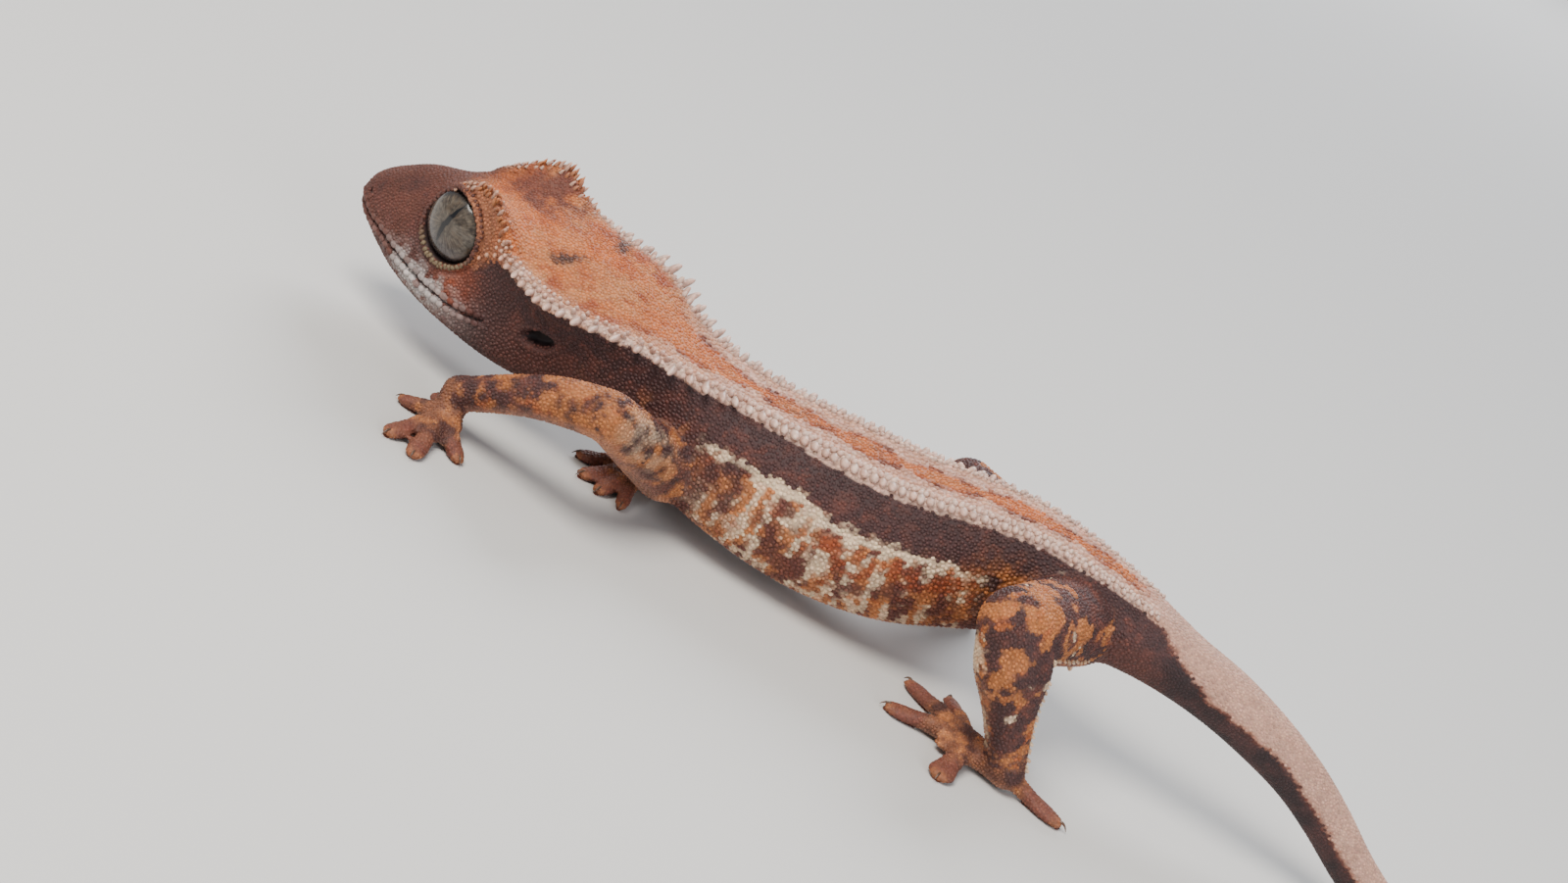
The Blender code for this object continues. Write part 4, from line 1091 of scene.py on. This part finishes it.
def scatter(mesh, spacing, keep):
    """Evenly spread points on the skin, with their face and their shares of its corners."""
    draw = np.random.default_rng(SEED)
    mesh.calc_loop_triangles()
    flat = np.empty(len(mesh.loop_triangles) * 3, np.int32)
    mesh.loop_triangles.foreach_get("vertices", flat)
    corners = flat.reshape(-1, 3)
    points = points_of(mesh)
    a, b, c = (points[corners[:, k]] for k in range(3))
    area = np.linalg.norm(np.cross(b - a, c - a), axis=1) / 2
    gap = spacing[corners].mean(axis=1)
    weight = area / gap ** 2 * (keep[corners].mean(axis=1) > 0.5)
    picked = draw.choice(len(area), int(weight.sum() * SPOTS_PER_SCALE), p=weight / weight.sum())
    one, two = draw.random((2, len(picked)))
    over = one + two > 1
    one[over], two[over] = 1 - one[over], 1 - two[over]
    shares = np.stack((1 - one - two, one, two), axis=1)
    spots = (points[corners[picked]] * shares[..., None]).sum(axis=1)
    gaps = gap[picked]
    cell = float(gaps.max())
    grid = {}
    kept = []
    keys = np.floor(spots / cell).astype(int).tolist()
    spot_list = spots.tolist()
    gap_list = gaps.tolist()
    around = [(i, j, k) for i in (-1, 0, 1) for j in (-1, 0, 1) for k in (-1, 0, 1)]
    for index, ((x, y, z), key, reach) in enumerate(zip(spot_list, keys, gap_list)):
        clear = True
        limit = reach * reach
        i, j, k = key
        for di, dj, dk in around:
            for px, py, pz in grid.get((i + di, j + dj, k + dk), ()):
                if (px - x) ** 2 + (py - y) ** 2 + (pz - z) ** 2 < limit:
                    clear = False
                    break
            if not clear:
                break
        if clear:
            grid.setdefault((i, j, k), []).append((x, y, z))
            kept.append(index)
    kept = np.array(kept)
    return corners[picked[kept]], shares[kept], gaps[kept]


def scale_spacing(notes):
    """How far apart the granules sit: finest on the face, feet and tail, coarsest on the back."""
    region, along, turn = notes[:, 0], notes[:, 1], notes[:, 2]
    band = band_of(turn)
    body = 0.212 + 0.11 * smooth(2.25, 2.0, band) * smooth(0.0, 0.9, band) * smooth(21, 26, along)
    body = body + 0.030 * smooth(3.1, 3.4, band) * smooth(27, 30, along) + 0.02 * smooth(5, 6.5, band)
    body = body - 0.025 * smooth(14, 7, along)
    body = body + (0.178 - body) * smooth(57, 61, along)
    limbs = np.where(region >= FIRST_FOOT, 0.176, 0.205)
    return np.where(region == BODY, body, limbs)


def make_coat(mesh, notes, recess_shade, material):
    """The small scales over the whole skin, one piece for each part of the body."""
    points, normals = points_of(mesh), normals_of(mesh)
    spacing = scale_spacing(notes)
    pad = (notes[:, 0] >= FIRST_FOOT) & (notes[:, 1] > TOE_PAD_START)
    # No granules where the painted shade of the recesses is deep.
    keep = (recess_shade < OPEN_RECESS_SHADE) & (points[:, 2] > 0.06)
    for side in (1, -1):
        local = (points - eye_middle(side)) @ eye_axes(side).T
        reach = np.hypot(local[:, 0] / EYE_OPENING[0], local[:, 1] / EYE_OPENING[1])
        keep &= ~((reach < 1.0) & (local[:, 2] > -0.3))
    corners, shares, gaps = scatter(mesh, spacing, keep.astype(float))

    def at(values):
        return (values[corners] * shares[..., None]).sum(axis=1)

    roots = at(points)
    out = unit(at(normals))
    near = corners[np.arange(len(corners)), shares.argmax(axis=1)]
    note = notes[near].copy()
    flow = note[:, 3:]
    draw = np.random.default_rng(SEED + 1)
    flow = unit(flow + draw.normal(0, 0.12, flow.shape))
    axes = stand(flow, out)
    tints = marks(note, roots, out) * draw.uniform(0.80, 1.18, (len(roots), 1))
    tints = tints * draw.uniform(0.97, 1.03, (len(roots), 3))
    band = band_of(note[:, 2])
    on_flank = bell(band, 4.6, 1.4) * smooth(26, 30, note[:, 1]) * smooth(TAIL_START, 50, note[:, 1])
    tall = np.where(note[:, 0] == BODY, 0.95 + 0.35 * on_flank, 0.95)
    tall = np.where((note[:, 0] == BODY) & (note[:, 1] > TAIL_START), 0.55, tall)
    tall = np.where(pad[near], 0.5, tall)
    wide = gaps * draw.uniform(0.60, 0.72, len(gaps))
    sizes = np.stack((wide * 1.12, wide, gaps * 0.54 * tall), axis=1)
    template = dome(5, ((1.0, -0.35, 0.0), (0.78, 0.36, 0.08), (0.0, 0.78, 0.32)))
    # Painted shading of each granule: painted shade at its base, painted highlight at its tip.
    shade = ring_painted_shading((0.72, 1.0, 1.12), 5)
    places = bake_place(note)
    region, along = note[:, 0], note[:, 1]
    groups = {
        "scales_head": (region == BODY) & (along < HEAD_END),
        "scales_chest": (region == BODY) & (along >= HEAD_END) & (along < CHEST_END),
        "scales_hips": (region == BODY) & (along >= CHEST_END) & (along < TAIL_START),
        "scales_tail": (region == BODY) & (along >= TAIL_START),
        "scales_limbs": (region >= FIRST_LIMB) & (region < FIRST_FOOT),
        "scales_feet": region >= FIRST_FOOT,
    }
    for name, chosen in groups.items():
        many(name, template, roots[chosen], axes[chosen], sizes[chosen], tints[chosen], places[chosen], shade,
             material)


CREST_TEMPLATE = ((1.0, -0.6, 0), (1.02, 0.0, 0), (0.94, 0.34, 0.0), (0.80, 0.62, 0.03), (0.58, 0.84, 0.06),
                  (0.30, 0.96, 0.09), (0, 1.0, 0.10))
# Painted shading of the crest and fringe forms: painted shade at the base, painted highlight towards the tip.
CREST_PAINTED_SHADING = (0.55, 0.72, 0.90, 1.0, 1.04, 1.06, 1.06)
# Each row of the crest: how far it lies up from the first, its share of size, and its share of spacing.
CREST_ROWS = ((0.0, 1.0, 1.0), (0.24, 0.60, 0.70), (0.42, 0.46, 0.56))


def make_crest(material):
    """The fringe along both edges of the head and back: a row of finger-like scales over two rows of beads."""
    draw = np.random.default_rng(SEED + 2)
    lots = []
    for side in (1, -1):
        for rise, share, pitch in CREST_ROWS:
            at = []
            along = CREST_START if share == 1.0 else BEADS_START
            while along < CREST_END:
                at.append(along + draw.uniform(-0.07, 0.07))
                along += pitch * np.interp(along, (11, 13, 17, 21, 26, 30, 46, 59),
                                           (0.55, 0.70, 0.88, 1.0, 0.95, 0.84, 0.74, 0.46))
            at = np.array(at)
            turn = crest_turn(at) - rise
            turn = mirrored(turn, side)
            points, out, back = surface_at(at, turn)
            _, left, up, _ = frames_at(at)
            lean = left * side * 0.95 + up * 0.02 + out * 0.35 + back * 0.12
            lean = unit(lean if share == 1.0 else lean * 0.4 + out) + draw.normal(0, 0.06, points.shape)
            length = np.interp(at, (11, 13, 16, 20, 25, 28, 34, 46, 59),
                               (0.28, 0.44, 0.74, 1.10, 1.10, 0.82, 0.58, 0.50, 0.28))
            length = length * share ** 1.5 * draw.uniform(0.84, 1.14, len(at))
            width = np.interp(at, (11, 13, 17, 24, 32, 46, 59), (0.16, 0.20, 0.25, 0.275, 0.31, 0.28, 0.18))
            width = width * (0.35 + 0.65 * share) * draw.uniform(0.92, 1.08, len(at))
            lots.append((points, unit(lean), back, length, width, at, turn))
    points, lean, back, length, width, at, turn = (np.concatenate([lot[k] for lot in lots]) for k in range(7))
    axes = stand(back, lean)
    sizes = np.stack((width, width, length), axis=1)
    tints = mix(HUE["bead"], HUE["pink"], draw.random(len(at)) * 0.6) * draw.uniform(0.92, 1.06, (len(at), 1))
    tints = mix(tints, HUE["tan"], smooth(14.5, 11.0, at) * 0.55)
    notes = np.stack((np.zeros(len(at)), at, turn), axis=1)
    template = dome(8, CREST_TEMPLATE)
    # Painted shade at the base of each crest scale, painted highlight at its tip.
    shade = ring_painted_shading(CREST_PAINTED_SHADING, 8)
    many("crest_scales", template, points, axes, sizes, tints, bake_place(notes), shade, material)


def make_lashes(material):
    """The fringe of small pointed scales over each brow, in rows."""
    draw = np.random.default_rng(SEED + 3)
    lots = []
    for side in (1, -1):
        for turn, share, count in ((2.0, 1.0, 15), (2.16, 0.7, 14), (1.82, 0.75, 16), (1.62, 0.5, 16)):
            at = np.linspace(7.2, 13.4, count) + draw.uniform(-0.12, 0.12, count)
            signed = mirrored(turn, side)
            points, _, back = surface_at(at, np.full(count, signed))
            _, left, up, _ = frames_at(at)
            lean = unit(left * side * 0.45 + up * 0.85 + back * 0.25 + draw.normal(0, 0.16, points.shape))
            length = share * np.interp(at, (7.2, 9, 11.5, 13.4), (0.22, 0.46, 0.62, 0.34))
            length = length * draw.uniform(0.7, 1.2, count)
            lots.append((points, lean, back, length, np.full(count, 0.15), at, np.full(count, signed)))
    points, lean, back, length, width, at, turn = (np.concatenate([lot[k] for lot in lots]) for k in range(7))
    sizes = np.stack((width, width, length), axis=1)
    tints = mix(HUE["tan"], HUE["brow"], draw.random(len(at)))
    tints = mix(tints, HUE["bead"], (draw.random(len(at)) > 0.6) * 0.5)
    notes = np.stack((np.zeros(len(at)), at, turn), axis=1)
    template = dome(6, ((1.0, -0.6, 0), (0.85, 0.15, 0), (0.55, 0.6, 0.1), (0, 1.0, 0.3)))
    # Painted shade at the base of each brow scale, painted highlight at its tip.
    shade = ring_painted_shading((0.6, 0.85, 1.0, 1.15), 6)
    axes = stand(back, lean)
    many("lash_scales", template, points, axes, sizes, tints, bake_place(notes), shade, material)


def make_rims(mesh, notes, material):
    """The ring of small square scales round each eye."""
    points, normals = points_of(mesh), normals_of(mesh)
    tree = tree_of(points)
    draw = np.random.default_rng(SEED + 5)
    lots = []
    for side in (1, -1):
        middle, axes = eye_middle(side), eye_axes(side)
        for reach, count, size in ((1.05, 46, 0.17), (1.16, 50, 0.15)):
            angle = np.linspace(0, 2 * math.pi, count, endpoint=False) + reach
            ring = middle + np.outer(np.cos(angle) * EYE_OPENING[0] * reach, axes[0]) \
                + np.outer(np.sin(angle) * EYE_OPENING[1] * reach, axes[1]) + axes[2] * 1.2
            for spot, turn in zip(ring, angle):
                index = tree.find(spot)[1]
                away = axes[0] * math.cos(turn) + axes[1] * math.sin(turn)
                lots.append((points[index], away, normals[index], index, size, -math.sin(turn)))
    roots, away, out, index, size, low = columns(lots)
    sizes = size[:, None] * np.array((1.0, 0.92, 0.75)) * draw.uniform(0.9, 1.1, (len(roots), 1))
    tints = mix(HUE["snout"], HUE["dark"], draw.random(len(roots)) * 0.6)
    tints = mix(tints, linear((128, 116, 88)), smooth(0.3, 0.9, low) * 0.7)
    template = dome(6, ((1.0, -0.6, 0), (0.95, 0.3, 0), (0.7, 0.8, 0), (0, 1.0, 0)))
    # Painted shade at the base of each rim scale, painted highlight at its top.
    shade = ring_painted_shading((0.6, 0.85, 1.05, 1.1), 6)
    places = bake_place(notes[index])
    many("rim_scales", template, roots, stand(away, out), sizes, tints, places, shade, material)


# The white scales beside the vent: distance from the snout tip, turn and size.
VENT_SCALES = ((53.0, 5.15, 0.26), (53.7, 5.3, 0.32), (54.5, 5.35, 0.36), (55.3, 5.3, 0.30), (54.1, 5.05, 0.24))


def make_fringes(mesh, notes, material):
    """Pointed pale scales along the rear of the hind legs, and the small white ones beside the vent."""
    points, normals = points_of(mesh), normals_of(mesh)
    draw = np.random.default_rng(SEED + 6)
    tree = tree_of(points)
    lots = []
    for name in ("left_leg", "right_leg"):
        root, bend, end = (np.array(place) + PLACE for place in LIMBS[name][0])
        side = -1 if name == "left_leg" else 1
        for start, stop, count, rear in ((root, bend, 22, (0.9, 0.25 * side, -0.45)),
                                         (bend, end, 18, (1.0, 0.15 * side, -0.1))):
            for share in np.linspace(0.2, 0.95, count):
                spot = start + (stop - start) * share + unit(np.array(rear)) * 2.6 + draw.normal(0, 0.08, 3)
                index = tree.find(spot)[1]
                lean = unit(normals[index] * 0.8 + unit(stop - start) * 0.4)
                lots.append((index, lean, 0.26, 0.12))
    for side in (1, -1):
        for along, turn, size in VENT_SCALES:
            spot = surface_at(np.array((along,)), np.array((mirrored(turn, side),)))[0][0]
            index = tree.find(spot)[1]
            lots.append((index, normals[index], size * 1.3, size * 0.75))
    index, lean, tall, wide = columns(lots)
    sizes = np.stack((wide, wide, tall), axis=1) * draw.uniform(0.8, 1.2, (len(lots), 1))
    tints = mix(HUE["cream"], HUE["tan"], draw.random(len(lots)) * 0.6)
    template = dome(7, CREST_TEMPLATE)
    # Painted shade at the base of each fringe scale, painted highlight at its tip.
    shade = ring_painted_shading(CREST_PAINTED_SHADING, 7)
    axes = stand(notes[index, 3:6] + 0.01, lean)
    places = bake_place(notes[index])
    many("fringe_scales", template, points[index], axes, sizes, tints, places, shade, material)


def make_lamellae(material):
    """The thin plates across the underside of each toe."""
    lots = []
    for region, (palm, toes) in enumerate(FEET.values()):
        start = on_floor(*palm)
        for x, y, pad in toes:
            tip = on_floor(x, y)
            ahead = unit(tip - start)
            length = np.linalg.norm(tip - start)
            for place in np.arange(length * 0.62, length * 0.98, 0.26):
                share = place / length
                half = pad * np.interp(share, (0.62, 0.76, 0.87, 0.98), (0.42, 0.58, 0.62, 0.3))
                lots.append((start + ahead * place + (0, 0, 0.06), ahead, half, region + FIRST_FOOT, share))
    roots, ahead, half, region, share = columns(lots)
    sizes = np.stack((np.full(len(lots), 0.15), half, np.full(len(lots), 0.045)), axis=1)
    down = np.repeat([(0, 0, -1.0)], len(lots), axis=0)
    notes = np.stack((region, share, np.full(len(lots), PLATE_TURN)), axis=1)
    tints = np.repeat([HUE["pad"] * 1.25], len(lots), axis=0)
    template = dome(10, ((1.0, -1.0, 0), (0.96, 0.3, 0), (0.7, 0.85, 0.12), (0, 1.0, 0.2)))
    # Painted shade at the edge of each plate, painted highlight on its middle.
    shade = ring_painted_shading((0.6, 0.9, 1.1, 1.1), 10)
    axes = stand(ahead, down)
    many("toe_plates", template, roots, axes, sizes, tints, bake_place(notes), shade, material)


def make_lips(mesh, notes, material):
    """The row of larger scales along each lip."""
    line = mouth_path()
    length = lengths_along(line)
    at = np.arange(0.4, length[-1] - 0.3, 0.54)
    spots = np.stack([np.interp(at, length, line[:, k]) for k in range(3)], axis=1)
    run = unit(np.stack([np.gradient(spots[:, k]) for k in range(3)], axis=1))
    points, normals = points_of(mesh), normals_of(mesh)
    tree = tree_of(points)
    _, _, up, _ = (part[0] for part in frames_at(6.0))
    lots = []
    for sign in (1, -1):
        for spot, along in zip(spots, run):
            rise = unit(up - along * (up @ along))
            index = tree.find(spot + rise * (0.31 * sign))[1]
            lots.append((points[index], along, normals[index], index))
    roots, along, out, index = columns(lots)
    draw = np.random.default_rng(SEED + 4)
    sizes = np.array((0.31, 0.22, 0.13)) * draw.uniform(0.9, 1.1, (len(roots), 1))
    tints = marks(notes[index], roots, out) * draw.uniform(0.85, 1.15, (len(roots), 1))
    template = dome(8, ((1.0, -0.5, 0), (0.98, 0.25, 0), (0.8, 0.75, 0), (0.4, 0.98, 0), (0, 1.0, 0)))
    # Painted shade at the base of each lip scale, painted highlight on its top.
    shade = ring_painted_shading((0.6, 0.85, 1.0, 1.05, 1.05), 8)
    places = bake_place(notes[index])
    many("lip_scales", template, roots, stand(along, out), sizes, tints, places, shade, material)


def make_claws(material):
    """A small hooked claw on the end of each toe."""
    shapes = Shapes()
    for palm, toes in FEET.values():
        start = on_floor(*palm)
        for x, y, _ in toes:
            tip = on_floor(x, y)
            ahead = unit(tip - start)
            share = np.linspace(0, 1, 8)[:, None]
            rise = 0.50 + 0.10 * np.sin(share * 2.2) - 0.40 * share ** 2
            path = tip + ahead * (share * 0.62 - 0.30) + np.array((0, 0, 1.0)) * rise
            half = 0.12 * (1 - share ** 1.4 * 0.86)
            tube(shapes, path, np.concatenate((half * 0.8, half), axis=1), 10, 0, (0, 1), 0.08)
    mesh = bpy.data.meshes.new("claws")
    bmesh.ops.recalc_face_normals(shapes.mesh, faces=shapes.mesh.faces)
    shapes.mesh.to_mesh(mesh)
    tint_mesh(mesh, np.tile(linear((96, 74, 60)), (len(mesh.vertices), 1)))
    finish_piece("claws", mesh, material)


def make_eyes(material):
    """The two eyes, each with its points kept in the eye's own directions for its material."""
    for side, name in ((1, "eye_left"), (-1, "eye_right")):
        shape = bmesh.new()
        bmesh.ops.create_uvsphere(shape, u_segments=72, v_segments=48, radius=1.0)
        local = np.array([vert.co for vert in shape.verts])
        stretch = Matrix((eye_axes(side) * EYE_HALF[[0, 2, 1]][:, None]).T.tolist()).to_4x4()
        bmesh.ops.transform(shape, matrix=Matrix.Translation(eye_middle(side)) @ stretch, verts=shape.verts)
        bmesh.ops.recalc_face_normals(shape, faces=shape.faces)
        mesh = bpy.data.meshes.new(name + "_globe")
        shape.to_mesh(mesh)
        shape.free()
        gaze = mesh.attributes.new("gaze", "FLOAT_VECTOR", "POINT")
        gaze.data.foreach_set("vector", local.astype(np.float32).ravel())
        finish_piece(name + "_globe", mesh, material, (name,))


def make_gecko():
    """The skin with its coat, crest, lashes, lips, rims, fringes, toe plates, claws and eyes."""
    skin, notes, recess_shade = make_skin()
    points, normals = points_of(skin), normals_of(skin)
    colours = marks(notes, points, normals, edges_of(skin))
    # Painted shade: the mouth line, ears, nostrils and eye-opening edges are darkened towards half-strength
    # ink.
    colours = mix(colours, HUE["ink"] * 0.5, recess_shade)
    # The skin's factor of 0.92 is painted shade for the gaps between the scales.
    hide = hide_material("hide", 0.62, 2600.0, 0.00006, 0.92)
    scale = hide_material("scale", 0.58, 4200.0, 0.00002)
    crest = hide_material("crest", 0.45, 3000.0, 0.00002, 1.0, 0.15)
    make_coat(skin, notes, recess_shade, scale)
    make_lips(skin, notes, scale)
    make_rims(skin, notes, scale)
    make_fringes(skin, notes, crest)
    make_lamellae(scale)
    make_crest(crest)
    make_lashes(crest)
    make_claws(hide_material("claw", 0.3, 2000.0, 0.00001))
    make_eyes(eye_material())
    tint_mesh(skin, colours)
    flesh = [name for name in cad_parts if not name.startswith("eye")]
    skin.name = "skin"
    finish_piece("skin", skin, hide, flesh)


# Stage, camera and light


def make_stage():
    """A plain floor, a pale sky and three round lamps."""
    shape = bmesh.new()
    bmesh.ops.create_grid(shape, x_segments=4, y_segments=4, size=6.0)
    mesh = bpy.data.meshes.new("floor")
    shape.to_mesh(mesh)
    shape.free()
    floor = bpy.data.objects.new("floor", mesh)
    bpy.context.scene.collection.objects.link(floor)
    material, _, shader = new_material("floor")
    shader.inputs["Base Color"].default_value = (0.62, 0.60, 0.57, 1)
    shader.inputs["Roughness"].default_value = 0.8
    mesh.materials.append(material)
    world = bpy.data.worlds.new("studio")
    bpy.context.scene.world = world
    world.use_nodes = True
    world.node_tree.nodes["Background"].inputs[0].default_value = (0.80, 0.86, 0.95, 1)
    world.node_tree.nodes["Background"].inputs[1].default_value = 0.48
    for name, place, size, power, colour in LIGHTS:
        light = bpy.data.lights.new(name, "AREA")
        light.shape = "DISK"
        light.size = size
        light.energy = power
        light.color = colour
        lamp = bpy.data.objects.new(name, light)
        lamp.location = place
        lamp.rotation_euler = (LIT_PLACE - Vector(place)).to_track_quat("-Z", "Y").to_euler()
        bpy.context.scene.collection.objects.link(lamp)


def make_camera():
    """The photo's camera, turned about its own view by the roll."""
    azimuth, elevation, roll = (math.radians(angle) for angle in CAMERA_ANGLES)
    ahead = Vector((-math.sin(azimuth) * math.cos(elevation), math.cos(azimuth) * math.cos(elevation),
                    -math.sin(elevation)))
    level = Vector((math.cos(azimuth), math.sin(azimuth), 0))
    over = level.cross(ahead)
    right = level * math.cos(roll) + over * math.sin(roll)
    up = over * math.cos(roll) - level * math.sin(roll)
    data = bpy.data.cameras.new("camera")
    data.sensor_width = 36
    data.lens = CAMERA_LENS
    data.clip_start = 0.01
    camera = bpy.data.objects.new("camera", data)
    turn = Matrix((right, up, -ahead)).transposed().to_4x4()
    camera.matrix_world = Matrix.Translation(CAMERA_PLACE * MM) @ turn
    bpy.context.scene.collection.objects.link(camera)
    bpy.context.scene.camera = camera


make_gecko()
make_stage()
make_camera()
